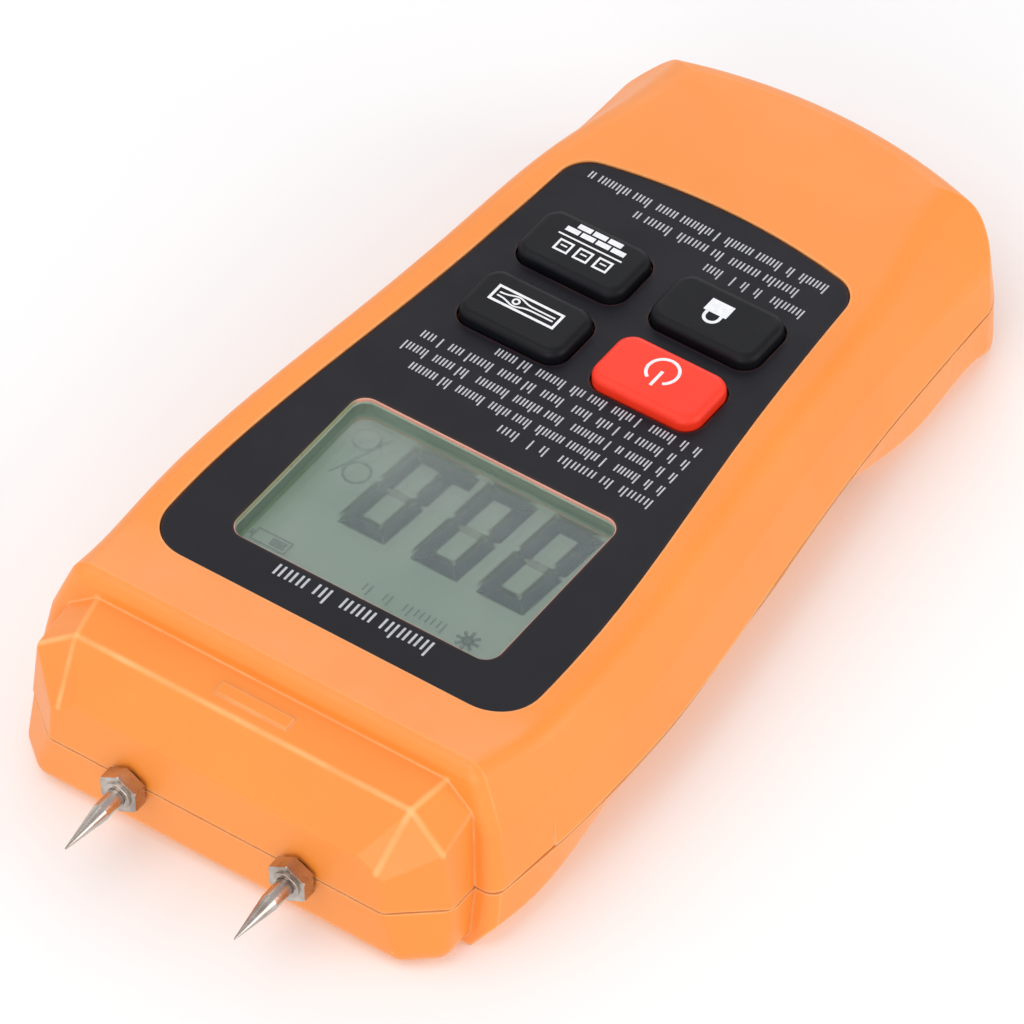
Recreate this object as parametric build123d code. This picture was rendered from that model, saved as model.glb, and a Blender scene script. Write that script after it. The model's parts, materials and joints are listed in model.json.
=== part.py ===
from build123d import *
import math
import os
from functools import cache

# Pin-type moisture meter, millimetres. +X is right when the display is read, +Y runs towards
# the measuring pins, +Z points out of the face. Pieces are laid out from the middle of the case,
# on the plane of its flat back, then moved along Y so that the origin is half way along the
# whole length with the pins.

# Case
WALL = 1.8
PARTING_Z = 9.2
SEAM_GAP = 0.26
TOP_Z = 24.0
BUTT_Y = -71.1
BUTT_RADIUS = 76.0
BUTT_CORNER = 10.0
BUTT_SIDE_X = 31.15
BUTT_TAPER = 5.0
BUTT_TRIM_Y = -50.0
BUTT_LID_Z = 24.05
BUTT_LID_SLOPE = 0.054
BUTT_RIM_RADIUS = 4.5
BUTT_BACK_RADIUS = 2.2
TONGUE_HEIGHT = 1.2
TONGUE_INSET = 1.0
TONGUE_THICKNESS = 0.55
REBATE_INSET = 0.85
SHOULDER_Y = 60.3
SHOULDER_LEAN = 0.186
SHOULDER_RADIUS = 2.3
SHOULDER_CORNER_X = 36.3
SHOULDER_TOOL_DEPTH = 12.0
SHOULDER_TOOL_SPREAD = 1.04
CREASE_RADIUS = 3.0
EDGE_RADIUS = 3.0
EDGE_GROWTH = 0.13
EDGE_GROWTH_Y = -36.0
BACK_RADII = (0.8, 1.0)

# Upper half of the case: y, half width at the seam, side crease (half width, z), top edge (half width, z)
UPPER_STATIONS = [
    (63.0, 35.9, 34.6, 18.0, 31.2, 26.8),
    (56.0, 36.7, 35.1, 17.7, 31.5, 26.6),
    (51.0, 37.3, 35.6, 17.3, 31.9, 25.3),
    (45.0, 37.9, 36.1, 17.2, 32.6, 24.1),
    (38.0, 38.1, 36.3, 17.2, 33.0, TOP_Z),
    (26.0, 38.1, 36.2, 17.2, 32.8, TOP_Z),
    (10.0, 36.8, 34.7, 17.2, 31.4, TOP_Z),
    (-7.0, 34.6, 32.5, 17.2, 29.5, TOP_Z),
    (-23.0, 32.8, 30.9, 17.2, 28.1, TOP_Z),
    (-36.0, 31.8, 30.1, 17.0, 27.1, TOP_Z),
    (-45.0, 31.4, 29.8, 16.6, 25.6, 23.95),
    (-53.0, 31.1, 29.7, 16.2, 23.4, 23.8),
    (-62.0, 30.9, 29.6, 16.0, 21.8, 23.4),
    (-74.0, 30.8, 29.5, 15.8, 20.8, 22.6),
]

# Lower half of the case: y, half width at the seam, side crease (half width, z), back edge
# (half width, z). Edges below zero are trimmed by the plane of the flat back.
LOWER_STATIONS = [
    (66.0, 35.6, 35.9, 3.6, 33.4, -0.3),
    (56.0, 36.7, 36.8, 3.6, 34.0, -0.3),
    (49.0, 37.5, 37.2, 3.9, 34.2, -0.1),
    (41.0, 38.0, 37.0, 5.2, 32.6, 1.2),
    (31.0, 38.2, 36.5, 6.6, 29.8, 3.6),
    (18.0, 37.5, 35.6, 7.3, 28.2, 5.3),
    (-3.0, 35.2, 33.4, 7.6, 26.8, 5.8),
    (-21.0, 33.0, 31.6, 7.2, 26.2, 5.4),
    (-30.0, 32.2, 31.4, 5.6, 26.6, 3.3),
    (-38.0, 31.7, 31.5, 3.6, 28.2, 0.9),
    (-46.0, 31.4, 31.3, 3.0, 28.8, -0.2),
    (-58.0, 31.0, 31.0, 3.0, 28.6, -0.3),
    (-74.0, 30.8, 30.8, 3.0, 28.4, -0.3),
]

# Head that carries the pins. Its corner facet is the plane through the end of the top ridge
# and its two feet.
HEAD_BACK_Y = 52.0
HEAD_FRONT_Y = 70.5
HEAD_SIDE_X = 33.0
HEAD_DRAFT = 0.09
HEAD_SIDE_DRAFT = 0.13
HEAD_RIDGE_Y = 63.8
HEAD_RIDGE_Z = 22.8
HEAD_RIDGE_END_X = 26.1
HEAD_RIDGE_BACK_X = 27.3
HEAD_TOP_Z = 23.6
HEAD_TOP_SLOPE = 0.12
HEAD_BROW_RUN = (5.9, 5.6)
HEAD_BROW_Y = 69.9
HEAD_FACET_FRONT_X = 24.8
HEAD_FACET_FRONT_Z = 15.5
HEAD_FACET_SIDE_Z = 18.6
HEAD_CHAMFER_X = 26.1
HEAD_CHAMFER_NORMAL = (0.63, 0.78)
HEAD_EDGE_RADIUS = 0.9
HEAD_LOWER_RADIUS = 2.6
HEAD_LOWER_FLARE = 0.22
HEAD_BOTTOM_Z = 0.3
BADGE_SIZE = (11.3, 2.0, 0.25)
BADGE_Y = 61.0

# Face plate and display window
PLATE_THICKNESS = 1.0
PLATE_Z = 23.75
PLATE_TOP_Y = 46.2
PLATE_BOTTOM_Y = -44.0
PLATE_GAP = 0.15
PLATE_SIDE = [(28.5, 46.2), (28.9, 29.0), (27.2, 9.8), (24.6, -11.0), (22.9, -31.0), (22.3, -41.2)]
PLATE_TOP_RADIUS = 6.4
PLATE_BOTTOM_RADIUS = 4.6
CEILING_Z = 21.2
CEILING_Y = (-43.5, 48.0)
WINDOW_SIZE = (41.4, 29.3)
WINDOW_Y = 24.4
WINDOW_RADIUS = 2.4
LENS_MARGIN = 2.4
LENS_THICKNESS = 1.1
LENS_GAP = 0.1

# Keys, in a block of two by two
KEY_SIZE = (16.8, 9.9)
KEY_RADIUS = 2.6
KEY_X = 10.55
KEY_UPPER_Y = -12.8
KEY_LOWER_Y = -26.1
KEY_RISE = 1.9
KEY_GAP = 0.3
KEY_EDGE_RADIUS = 1.1
KEY_FOOT_Z = 17.9
KEY_FLANGE_WIDTH = 1.0
KEY_FLANGE_Z = (19.9, 21.1)

# Circuit board and what stands on it
BOARD_TOP_Z = 16.0
BOARD_THICKNESS = 1.6
BOARD_HALF_OUTLINE = [(30.2, 45.0), (30.2, 4.0), (26.4, -24.5), (20.4, -25.5), (20.4, -35.5)]
BOARD_SCREW_SITES = [(27.7, 40.5), (-27.7, 40.5), (24.6, -6.0), (-24.6, -6.0)]
BOARD_SCREW_RADIUS = 1.0
BOARD_SCREW_LENGTH = 5.6
BOARD_SCREW_HEAD = (1.9, 1.3)
BOARD_BOSS_RADIUS = 2.2
MAT_SIZE = (43.0, 26.4, 0.8)
DOME_RADII = (3.6, 2.2)
DISPLAY_TOP_Z = 20.8
GLASS_SIZE = (47.0, 34.6)
GLASS_SHEET = 1.1
LIGHT_PLATE_SIZE = (44.0, 26.0)
FRAME_SIZE = (50.0, 37.8)
FRAME_LIP = 0.3
ZEBRA_SIZE = (42.0, 2.2)
ZEBRA_OFFSET = 15.6

# Parts under the circuit board
CHIP_LEAD_REACH = 0.9
CHIP_LEAD_THICKNESS = 0.35
CHIP_STANDOFF = 0.1
CONTROLLER = {"x": 0.0, "y": 22.0, "size": (10.0, 7.0), "height": 1.6, "lead_count": 8}
AMPLIFIER = {"x": 4.0, "y": 36.0, "size": (5.0, 4.0), "height": 1.4, "lead_count": 4}
SMALL_PART_SIZE = (2.0, 1.2, 0.7)
SMALL_PART_FIRST = (-21.0, 14.0)
SMALL_PART_PITCH = (4.0, 4.5)
SMALL_PART_COUNT = (4, 3)
CAPACITOR_PLACE = (16.0, 32.0)
CAPACITOR_RADIUS = 2.6
CAPACITOR_HEIGHT = 5.4
TRIMMER_PLACE = (17.0, 15.0)
TRIMMER_SIZE = (6.0, 6.0, 3.2)
ROTOR_RADIUS = 1.8
ROTOR_HEIGHT = 0.4
ROTOR_SLOT = (2.8, 0.6, 0.3)

# Case screws, driven from the back into posts of the front cover
CASE_SCREW_SITES = [(29.0, 51.0), (-29.0, 51.0), (24.9, -31.6), (-24.9, -31.6)]
SCREW_SEAT_Z = 6.6
SCREW_RADIUS = 1.2
SCREW_LENGTH = 11.0
SCREW_HEAD = (2.3, 1.7)
SCREW_WELL_RADIUS = 2.7
POST_RADIUS = 3.0
PILOT_GAP = 0.05

# Pins, their nuts and sockets
PIN_X = 13.2
PIN_RADIUS = 1.25
PIN_TIP_Y = 84.1
PIN_TIP_RADIUS = 0.12
PIN_CONE_Y = 76.8
PIN_ROOT_Y = 62.5
PIN_GAP = 0.06
NUT_ACROSS_FLATS = 5.5
NUT_BACK_Y = 71.0
NUT_THICKNESS = 2.1
NUT_RING_RADIUS = 2.0
NUT_RING_HEIGHT = 0.35
NUT_CHAMFER_BACK = 1.6
NUT_CHAMFER_RADII = (1.5, -0.12)
SOCKET_NECK_RADIUS = 1.9
SOCKET_FLANGE_RADIUS = 3.6
SOCKET_FLANGE_Y = (65.6, 68.2)
SOCKET_TAIL_RADIUS = 2.4
SOCKET_BACK_Y = 59.5
LUG_RADIUS = 3.4
LUG_Y = (61.0, 61.5)
WIRE_RADIUS = 0.65

# Nine-volt battery, lying across the butt
BATTERY_SIZE = (46.2, 26.0, 17.0)
BATTERY_CENTRE = (0.0, -53.3, 10.7)
TERMINAL_PITCH = 12.7
TERMINAL_RADII = (2.7, 3.7)
TERMINAL_HEIGHT = 1.6
SNAP_SIZE = (2.4, 23.0, 9.0)
FOAM_SIZE = (24.0, 16.0, 2.1)
BAY_GAP = 0.3
PARTITION_Y = (-37.9, -36.7)
PARTITION_HALF_WIDTH = 13.0

# Battery door, slid off towards the butt end
DOOR_HALF_WIDTH = 24.0
DOOR_TONGUE_WIDTH = 1.4
DOOR_FRONT_Y = -40.2
DOOR_THICKNESS = 1.7
DOOR_SKIN = 0.85
DOOR_GAP = 0.2
DOOR_GRIP_COUNT = 5
DOOR_GRIP_PITCH = 2.2
DOOR_GRIP_SIZE = (16.0, 0.9, 0.4)
DOOR_GRIP_Y = -60.0


def outline_plane(y):
    """Plane across the meter at y, with local x along +X and local y along +Z."""
    return Plane(origin=(0, y, 0), x_dir=(1, 0, 0), z_dir=(0, -1, 0))


def block(x_range, y_range, z_range):
    """Box between the given limits."""
    size = [high - low for low, high in (x_range, y_range, z_range)]
    middle = [(low + high) / 2 for low, high in (x_range, y_range, z_range)]
    return Pos(*middle) * Box(*size)


def rounded_slab(size, radius, z_range, centre=(0, 0)):
    """Upright slab with a rounded rectangular outline."""
    low, high = z_range
    outline = Pos(centre[0], centre[1], low) * RectangleRounded(size[0], size[1], radius)
    return extrude(outline, high - low)


def post(x, y, radius, z_range):
    """Upright cylinder."""
    low, high = z_range
    return Pos(x, y, (low + high) / 2) * Cylinder(radius, high - low)


def rod_along_y(x, z, radius, y_range):
    """Cylinder along +Y."""
    low, high = y_range
    return Pos(x, (low + high) / 2, z) * Rot(90, 0, 0) * Cylinder(radius, high - low)


def keep_behind(solid, point, normal, inset):
    """The part of a solid behind a plane that is moved inwards by inset."""
    length = math.sqrt(sum(c * c for c in normal))
    unit = [c / length for c in normal]
    origin = [p - inset * u for p, u in zip(point, unit)]
    return split(solid, bisect_by=Plane(origin=tuple(origin), z_dir=tuple(unit)), keep=Keep.BOTTOM)


def normal_through(a, b, c):
    """Upward normal of the plane through three points."""
    normal = Vector(*b).sub(Vector(*a)).cross(Vector(*c).sub(Vector(*a)))
    if normal.Z < 0:
        normal = normal * -1
    return tuple(normal)


def case_section(y, side_points, radii):
    """Closed section across the case from its right-hand points, seam first, with rounded corners."""
    left_points = [(-x, z) for x, z in reversed(side_points)]
    face = make_face(Polyline(*side_points, *left_points, close=True))
    for (x, z), radius in zip(side_points[1:], radii):
        corners = [v for v in face.vertices() if abs(abs(v.X) - x) < 1e-4 and abs(v.Y - z) < 1e-4]
        face = fillet(corners, radius)
    return outline_plane(y) * face


def upper_form(inset):
    """Solid inside the upper half of the case, drawn in from its surface by inset."""
    sections = []
    for y, seam_x, crease_x, crease_z, edge_x, edge_z in UPPER_STATIONS:
        points = [
            (seam_x - inset, PARTING_Z),
            (crease_x - inset, crease_z - 0.4 * inset),
            (edge_x - 0.7 * inset, edge_z - inset),
        ]
        edge_radius = EDGE_RADIUS + EDGE_GROWTH * max(0.0, EDGE_GROWTH_Y - y)
        sections.append(case_section(y, points, (CREASE_RADIUS, edge_radius)))
    return loft(sections)


def lower_form(inset):
    """Solid inside the lower half of the case, drawn in from its surface by inset."""
    sections = []
    for y, seam_x, crease_x, crease_z, edge_x, edge_z in LOWER_STATIONS:
        low_z = min(edge_z + inset, PARTING_Z - 1.2)
        points = [
            (seam_x - inset, PARTING_Z),
            (crease_x - inset, min(crease_z + 0.4 * inset, PARTING_Z - 0.7)),
            (edge_x - 0.7 * inset, low_z),
        ]
        sections.append(case_section(y, points, BACK_RADII))
    return loft(sections)


def butt_outline(inset):
    """Plan of the case with its bowed butt end and rounded corners, left long towards the pins."""
    side = BUTT_SIDE_X - inset
    end_y = BUTT_Y + inset
    corner_y = end_y + BUTT_RADIUS - math.sqrt(BUTT_RADIUS**2 - side**2)
    far_y = SHOULDER_Y + 20
    bow = ThreePointArc((-side, corner_y), (0, end_y), (side, corner_y))
    walls = Polyline((side, corner_y), (side, far_y), (-side, far_y), (-side, corner_y))
    face = make_face(bow + walls)
    corners = face.vertices().sort_by(Axis.Y)[:2]
    return fillet(corners, BUTT_CORNER - inset)


def distance_ahead(place, point, normal):
    """Signed distance of a place from the plane through point, along its normal."""
    unit = Vector(*normal).normalized()
    return (Vector(*place) - Vector(*point)).dot(unit)


def butt_tool(inset, height, taper, lid_point, lid_normal, rim_radius):
    """Body with the plan of the butt, closed by a lid with a soft rim."""
    tool = extrude(Pos(0, 0, PARTING_Z) * butt_outline(inset), height, taper=taper)
    tool = keep_behind(tool, lid_point, lid_normal, inset)
    low = -inset - 0.01
    rim = tool.edges().filter_by(lambda e: distance_ahead(e.center(), lid_point, lid_normal) > low)
    rim = rim.filter_by(lambda e: e.center().Y < BUTT_Y + 2 * BUTT_CORNER)
    return fillet(rim, rim_radius)


def shoulder_plane(inset):
    """Plane of the leaning wall behind the head, facing the pins."""
    normal = Vector(0, 1, SHOULDER_LEAN).normalized()
    return Plane(origin=Vector(0, SHOULDER_Y, PARTING_Z) - normal * inset, x_dir=(1, 0, 0), z_dir=normal)


def upper_shoulder_tool(solid, inset):
    """Body that starts as the wall cut into a solid, widens away from it and has a soft rim."""
    plane = shoulder_plane(inset)
    wall = solid.faces().filter_by(lambda f: abs(plane.to_local_coords(f.center()).Z) < 0.01)
    wall = wall.sort_by(SortBy.AREA)[-1]
    spread = scale(plane.to_local_coords(wall), by=(SHOULDER_TOOL_SPREAD, SHOULDER_TOOL_SPREAD, 1))
    far_wall = plane * (Pos(0, 0, -SHOULDER_TOOL_DEPTH) * spread)
    tool = loft([wall, far_wall.faces()[0]])
    rim = tool.edges().filter_by(lambda e: abs(plane.to_local_coords(e.center()).Z) < 0.01)
    rim = rim.filter_by(lambda e: e.center().Z > PARTING_Z + 0.1)
    return fillet(rim, SHOULDER_RADIUS - inset / 2)


def lower_shoulder_tool(inset):
    """Leaning body whose plan rounds the two upright corners of the shoulder."""
    front_y = shoulder_plane(inset).origin.Y
    front_x = SHOULDER_CORNER_X - inset
    back_x = front_x * SHOULDER_TOOL_SPREAD
    back_y = front_y - SHOULDER_TOOL_DEPTH
    corners = [(front_x, front_y), (back_x, back_y), (-back_x, back_y), (-front_x, front_y)]
    plan = make_face(Polyline(*corners, close=True))
    plan = fillet(plan.vertices().sort_by(Axis.Y)[-2:], SHOULDER_RADIUS - inset / 2)
    return extrude(Pos(0, 0, PARTING_Z) * plan, 2 * PARTING_Z, dir=(0, SHOULDER_LEAN, -1))


def round_shoulder(solid, inset, tool):
    """Replace the front end of a cut case by what the tool leaves of it."""
    plane = shoulder_plane(inset)
    rest = split(solid, bisect_by=plane.offset(1 - SHOULDER_TOOL_DEPTH), keep=Keep.BOTTOM)
    return rest + (solid & tool)


@cache
def upper_case(inset):
    """Upper half of the case without its head."""
    lid = (0, BUTT_TRIM_Y, BUTT_LID_Z)
    trim = butt_tool(inset, TOP_Z, BUTT_TAPER, lid, (0, -BUTT_LID_SLOPE, 1), BUTT_RIM_RADIUS)
    trim += block((-60, 60), (BUTT_TRIM_Y, 90), (0, 40))
    solid = split(upper_form(inset) & trim, bisect_by=shoulder_plane(inset), keep=Keep.BOTTOM)
    return round_shoulder(solid, inset, upper_shoulder_tool(solid, inset))


@cache
def lower_case(inset):
    """Lower half of the case without its head, trimmed flat by the plane that it rests on."""
    trim = butt_tool(inset, -PARTING_Z - 1, 0, (0, 0, 0), (0, 0, -1), BUTT_BACK_RADIUS)
    trim += block((-60, 60), (BUTT_TRIM_Y, 90), (inset, 40))
    solid = split(lower_form(inset) & trim, bisect_by=shoulder_plane(inset), keep=Keep.BOTTOM)
    return round_shoulder(solid, inset, lower_shoulder_tool(inset))


def head_side_corner(z):
    """Point at height z on the upright corner between the head's side wall and its chamfer wall."""
    rise = z - PARTING_Z
    across, along = HEAD_CHAMFER_NORMAL
    x = HEAD_SIDE_X - HEAD_SIDE_DRAFT * rise
    y = HEAD_FRONT_Y - (across * (x - HEAD_CHAMFER_X) + HEAD_DRAFT * rise) / along
    return x, y, z


@cache
def upper_head(inset):
    """Upper half of the head: an upright block with drafted walls and a bevelled top."""
    ridge_end = (HEAD_RIDGE_END_X, HEAD_RIDGE_Y, HEAD_RIDGE_Z)
    ridge_back = (HEAD_RIDGE_BACK_X, SHOULDER_Y - 3, HEAD_TOP_Z)
    side_foot = head_side_corner(HEAD_FACET_SIDE_Z)
    front_foot = (HEAD_FACET_FRONT_X, HEAD_BROW_Y, HEAD_FACET_FRONT_Z)
    centre_ridge = (0, HEAD_RIDGE_Y, HEAD_RIDGE_Z)
    solid = block((-45, 45), (HEAD_BACK_Y, 90), (PARTING_Z, 40))
    solid = keep_behind(solid, (0, HEAD_FRONT_Y, PARTING_Z), (0, 1, HEAD_DRAFT), inset)
    solid = keep_behind(solid, centre_ridge, (0, HEAD_TOP_SLOPE, 1), inset)
    solid = keep_behind(solid, centre_ridge, (0, HEAD_BROW_RUN[1], HEAD_BROW_RUN[0]), inset)
    corner = normal_through(ridge_end, side_foot, front_foot)
    bevel = normal_through(ridge_end, ridge_back, side_foot)
    for side in (1, -1):
        planes = [
            ((HEAD_SIDE_X, 0, PARTING_Z), (1, 0, HEAD_SIDE_DRAFT)),
            ((HEAD_CHAMFER_X, HEAD_FRONT_Y, PARTING_Z), (*HEAD_CHAMFER_NORMAL, HEAD_DRAFT)),
            (ridge_end, corner),
            (ridge_end, bevel),
        ]
        for point, normal in planes:
            point = (side * point[0], point[1], point[2])
            normal = (side * normal[0], normal[1], normal[2])
            solid = keep_behind(solid, point, normal, inset)
    return solid


@cache
def lower_head(inset):
    """Lower half of the head, whose corner chamfers narrow towards the back."""
    solid = block((-45, 45), (HEAD_BACK_Y, 90), (HEAD_BOTTOM_Z + inset, PARTING_Z))
    solid = keep_behind(solid, (0, HEAD_FRONT_Y, PARTING_Z), (0, 1, 0), inset)
    for side in (1, -1):
        wall = (side * HEAD_SIDE_X, 0, PARTING_Z)
        solid = keep_behind(solid, wall, (side, 0, 0), inset)
        corner = (side * HEAD_CHAMFER_X, HEAD_FRONT_Y, PARTING_Z)
        normal = (side * HEAD_CHAMFER_NORMAL[0], HEAD_CHAMFER_NORMAL[1], HEAD_LOWER_FLARE)
        solid = keep_behind(solid, corner, normal, inset)
    return solid


def soften_head(solid, radius):
    """Round the head's outer edges, leaving the seam and the hidden back end sharp."""
    edges = solid.edges().filter_by(lambda e: abs(e.center().Z - PARTING_Z) > 0.01)
    edges = edges.filter_by(lambda e: e.center().Y > HEAD_BACK_Y + 0.01)
    return fillet(edges, radius)


def seam_band(solid, z_range):
    """Slice of a solid between two heights."""
    return solid & block((-60, 60), (-90, 90), z_range)


def plate_outline(gap):
    """Outline of the face plate, widest beside the display and narrow below the keys, grown by gap."""
    side = [(x + gap, y) for x, y in PLATE_SIDE]
    side[0] = (side[0][0], PLATE_TOP_Y + gap)
    side[-1] = (side[-1][0], side[-1][1] - gap)
    corner_x, corner_y = side[-1]
    right = Spline(*side)
    left = mirror(right, about=Plane.YZ)
    top = Line(side[0], (-side[0][0], side[0][1]))
    bottom = ThreePointArc((corner_x, corner_y), (0, PLATE_BOTTOM_Y - gap), (-corner_x, corner_y))
    face = make_face(right + left + top + bottom)
    upper = face.vertices().sort_by(Axis.Y)[-2:]
    face = fillet(upper, PLATE_TOP_RADIUS + gap)
    lower = face.vertices().sort_by(Axis.Y)[:2]
    return fillet(lower, PLATE_BOTTOM_RADIUS + gap)


def plate_slab(gap, z_range):
    """Slab with the outline of the face plate."""
    low, high = z_range
    return extrude(Pos(0, 0, low) * plate_outline(gap), high - low)


def key_sites():
    """Node name and centre of each key."""
    return {
        "power_key": (-KEY_X, KEY_UPPER_Y),
        "wood_key": (KEY_X, KEY_UPPER_Y),
        "hold_key": (-KEY_X, KEY_LOWER_Y),
        "paper_wall_key": (KEY_X, KEY_LOWER_Y),
    }


def key_openings(z_range):
    """Clearance for the four keys."""
    size = (KEY_SIZE[0] + 2 * KEY_GAP, KEY_SIZE[1] + 2 * KEY_GAP)
    slabs = [rounded_slab(size, KEY_RADIUS + KEY_GAP, z_range, site) for site in key_sites().values()]
    return slabs


def window_slab(margin, radius, z_range):
    """Slab with the outline of the display window, grown by margin."""
    size = (WINDOW_SIZE[0] + 2 * margin, WINDOW_SIZE[1] + 2 * margin)
    return rounded_slab(size, radius, z_range, (0, WINDOW_Y))


def socket_holes():
    """Clearance for the necks of the pin sockets through the front wall."""
    radius = SOCKET_NECK_RADIUS + 0.1
    return [rod_along_y(x, PARTING_Z, radius, (SOCKET_FLANGE_Y[0], 80)) for x in (PIN_X, -PIN_X)]


def battery_room():
    """Space that the battery and its snap connector need, a little larger than both."""
    x, y, z = BATTERY_CENTRE
    half = [size / 2 + BAY_GAP for size in BATTERY_SIZE]
    room = block((x - half[0], x + half[0]), (y - half[1], y + half[1]), (z - half[2], z + half[2]))
    snap_half_y = SNAP_SIZE[1] / 2 + BAY_GAP
    snap_half_z = SNAP_SIZE[2] / 2 + BAY_GAP
    snap_x = x + BATTERY_SIZE[0] / 2 + BAY_GAP + SNAP_SIZE[0] + BAY_GAP
    room += block((x, snap_x), (y - snap_half_y, y + snap_half_y), (z - snap_half_z, z + snap_half_z))
    return room


def make_front_cover():
    """Front half of the case: face, head top, screw posts and the rebate for the seam tongue."""
    plate_floor = PLATE_Z - PLATE_THICKNESS
    shell = upper_case(0) + soften_head(upper_head(0), HEAD_EDGE_RADIUS)
    badge = block(
        (-BADGE_SIZE[0] / 2, BADGE_SIZE[0] / 2),
        (BADGE_Y - BADGE_SIZE[1] / 2, BADGE_Y + BADGE_SIZE[1] / 2),
        (HEAD_TOP_Z - 1.5, HEAD_TOP_Z + 1),
    )
    badge_top = (0, HEAD_RIDGE_Y, HEAD_RIDGE_Z + BADGE_SIZE[2])
    shell += keep_behind(badge, badge_top, (0, HEAD_TOP_SLOPE, 1), 0)
    cavity = upper_case(WALL) + upper_head(WALL)
    cavity -= block((-60, 60), CEILING_Y, (CEILING_Z, TOP_Z + 1))
    shell -= cavity
    inner = upper_case(WALL) + upper_head(WALL)
    for x, y in CASE_SCREW_SITES:
        shell += post(x, y, POST_RADIUS, (PARTING_Z, TOP_Z)) & inner
    for x, y in BOARD_SCREW_SITES:
        shell += post(x, y, BOARD_BOSS_RADIUS, (BOARD_TOP_Z, CEILING_Z + 1)) & inner
    bay_wall = block(
        (-PARTITION_HALF_WIDTH, PARTITION_HALF_WIDTH), PARTITION_Y, (PARTING_Z + 0.4, TOP_Z)
    )
    shell += bay_wall & inner
    for x, y in CASE_SCREW_SITES:
        shell -= post(x, y, SCREW_RADIUS + PILOT_GAP, (PARTING_Z - 1, SCREW_SEAT_Z + SCREW_LENGTH + 0.4))
    for x, y in BOARD_SCREW_SITES:
        shell -= post(x, y, BOARD_SCREW_RADIUS + PILOT_GAP, (BOARD_TOP_Z - 1, BOARD_TOP_Z + 4.4))
    rebate = upper_case(REBATE_INSET) + upper_head(REBATE_INSET)
    rebate = seam_band(rebate, (PARTING_Z - 1, PARTING_Z + TONGUE_HEIGHT + SEAM_GAP + 0.2))
    for x, y in CASE_SCREW_SITES:
        rebate -= post(x, y, POST_RADIUS, (PARTING_Z - 1, PARTING_Z + 4))
    rebate -= bay_wall
    shell -= rebate
    shell -= plate_slab(PLATE_GAP, (plate_floor, TOP_Z + 5))
    shell -= window_slab(LENS_MARGIN + LENS_GAP, WINDOW_RADIUS, (CEILING_Z - 1, TOP_Z + 1))
    for tool in key_openings((CEILING_Z - 1, TOP_Z + 1)) + socket_holes():
        shell -= tool
    shell -= battery_room()
    shell -= block((-60, 60), (-90, 90), (0, PARTING_Z + SEAM_GAP))
    return shell


def door_form(gap):
    """Form of the battery door, grown by gap: a slab in the back with a wider tongue over the rails."""
    front_y = DOOR_FRONT_Y + gap
    far_y = BUTT_Y - 5
    half = DOOR_HALF_WIDTH + gap
    tongue_half = half + DOOR_TONGUE_WIDTH
    skin = block((-half, half), (far_y, front_y), (-1, DOOR_THICKNESS + gap))
    tongue_low = DOOR_SKIN + DOOR_GAP - gap
    tongue = block((-tongue_half, tongue_half), (far_y, front_y), (tongue_low, DOOR_THICKNESS + gap))
    return skin + tongue


def make_rear_cover():
    """Back half of the case: grip scoop, battery bay, door rails, screw wells and seam tongue."""
    outer = lower_case(0) + soften_head(lower_head(0), HEAD_LOWER_RADIUS)
    inner = lower_case(WALL) + lower_head(WALL)
    shell = outer - inner
    for x, y in CASE_SCREW_SITES:
        shell += post(x, y, SCREW_WELL_RADIUS + 1.2, (0, PARTING_Z)) & lower_case(WALL / 2)
    bay_wall = block((-PARTITION_HALF_WIDTH, PARTITION_HALF_WIDTH), PARTITION_Y, (1, PARTING_Z))
    shell += bay_wall & lower_case(WALL / 2)
    for x, y in CASE_SCREW_SITES:
        shell -= post(x, y, SCREW_WELL_RADIUS, (-1, SCREW_SEAT_Z))
        shell -= post(x, y, SCREW_RADIUS + 0.3, (-1, PARTING_Z + 1))
    for tool in socket_holes():
        shell -= tool
    shell -= door_form(DOOR_GAP)
    tongue = upper_case(TONGUE_INSET) + upper_head(TONGUE_INSET)
    tongue -= upper_case(TONGUE_INSET + TONGUE_THICKNESS) + upper_head(TONGUE_INSET + TONGUE_THICKNESS)
    shell += seam_band(tongue, (PARTING_Z, PARTING_Z + TONGUE_HEIGHT))
    for x, y in CASE_SCREW_SITES:
        shell -= post(x, y, POST_RADIUS + 0.15, (PARTING_Z, PARTING_Z + 4))
    for tool in socket_holes():
        shell -= tool
    return shell - battery_room()


def make_battery_door():
    """Sliding door in the back of the butt, with finger ridges."""
    door = door_form(0) & lower_case(0)
    for i in range(DOOR_GRIP_COUNT):
        y = DOOR_GRIP_Y + i * DOOR_GRIP_PITCH
        half_x, half_y = DOOR_GRIP_SIZE[0] / 2, DOOR_GRIP_SIZE[1] / 2
        door -= block((-half_x, half_x), (y - half_y, y + half_y), (-1, DOOR_GRIP_SIZE[2]))
    return door


def make_face_plate():
    """Black plate around the display window and the keys."""
    plate = plate_slab(0, (PLATE_Z - PLATE_THICKNESS, PLATE_Z))
    plate -= window_slab(0, WINDOW_RADIUS, (0, 40))
    for tool in key_openings((0, 40)):
        plate -= tool
    return plate


def make_lens():
    """Clear window under the face plate."""
    top = PLATE_Z - PLATE_THICKNESS
    return window_slab(LENS_MARGIN, WINDOW_RADIUS, (top - LENS_THICKNESS, top))


def make_key(x, y):
    """Soft key with rounded top edges and a flange that holds it behind the face."""
    top = PLATE_Z + KEY_RISE
    cap = rounded_slab(KEY_SIZE, KEY_RADIUS, (KEY_FOOT_Z, top), (x, y))
    cap = fillet(cap.faces().sort_by(Axis.Z)[-1].edges(), KEY_EDGE_RADIUS)
    flange_size = (KEY_SIZE[0] + 2 * KEY_FLANGE_WIDTH, KEY_SIZE[1] + 2 * KEY_FLANGE_WIDTH)
    return cap + rounded_slab(flange_size, KEY_RADIUS, KEY_FLANGE_Z, (x, y))


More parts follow.
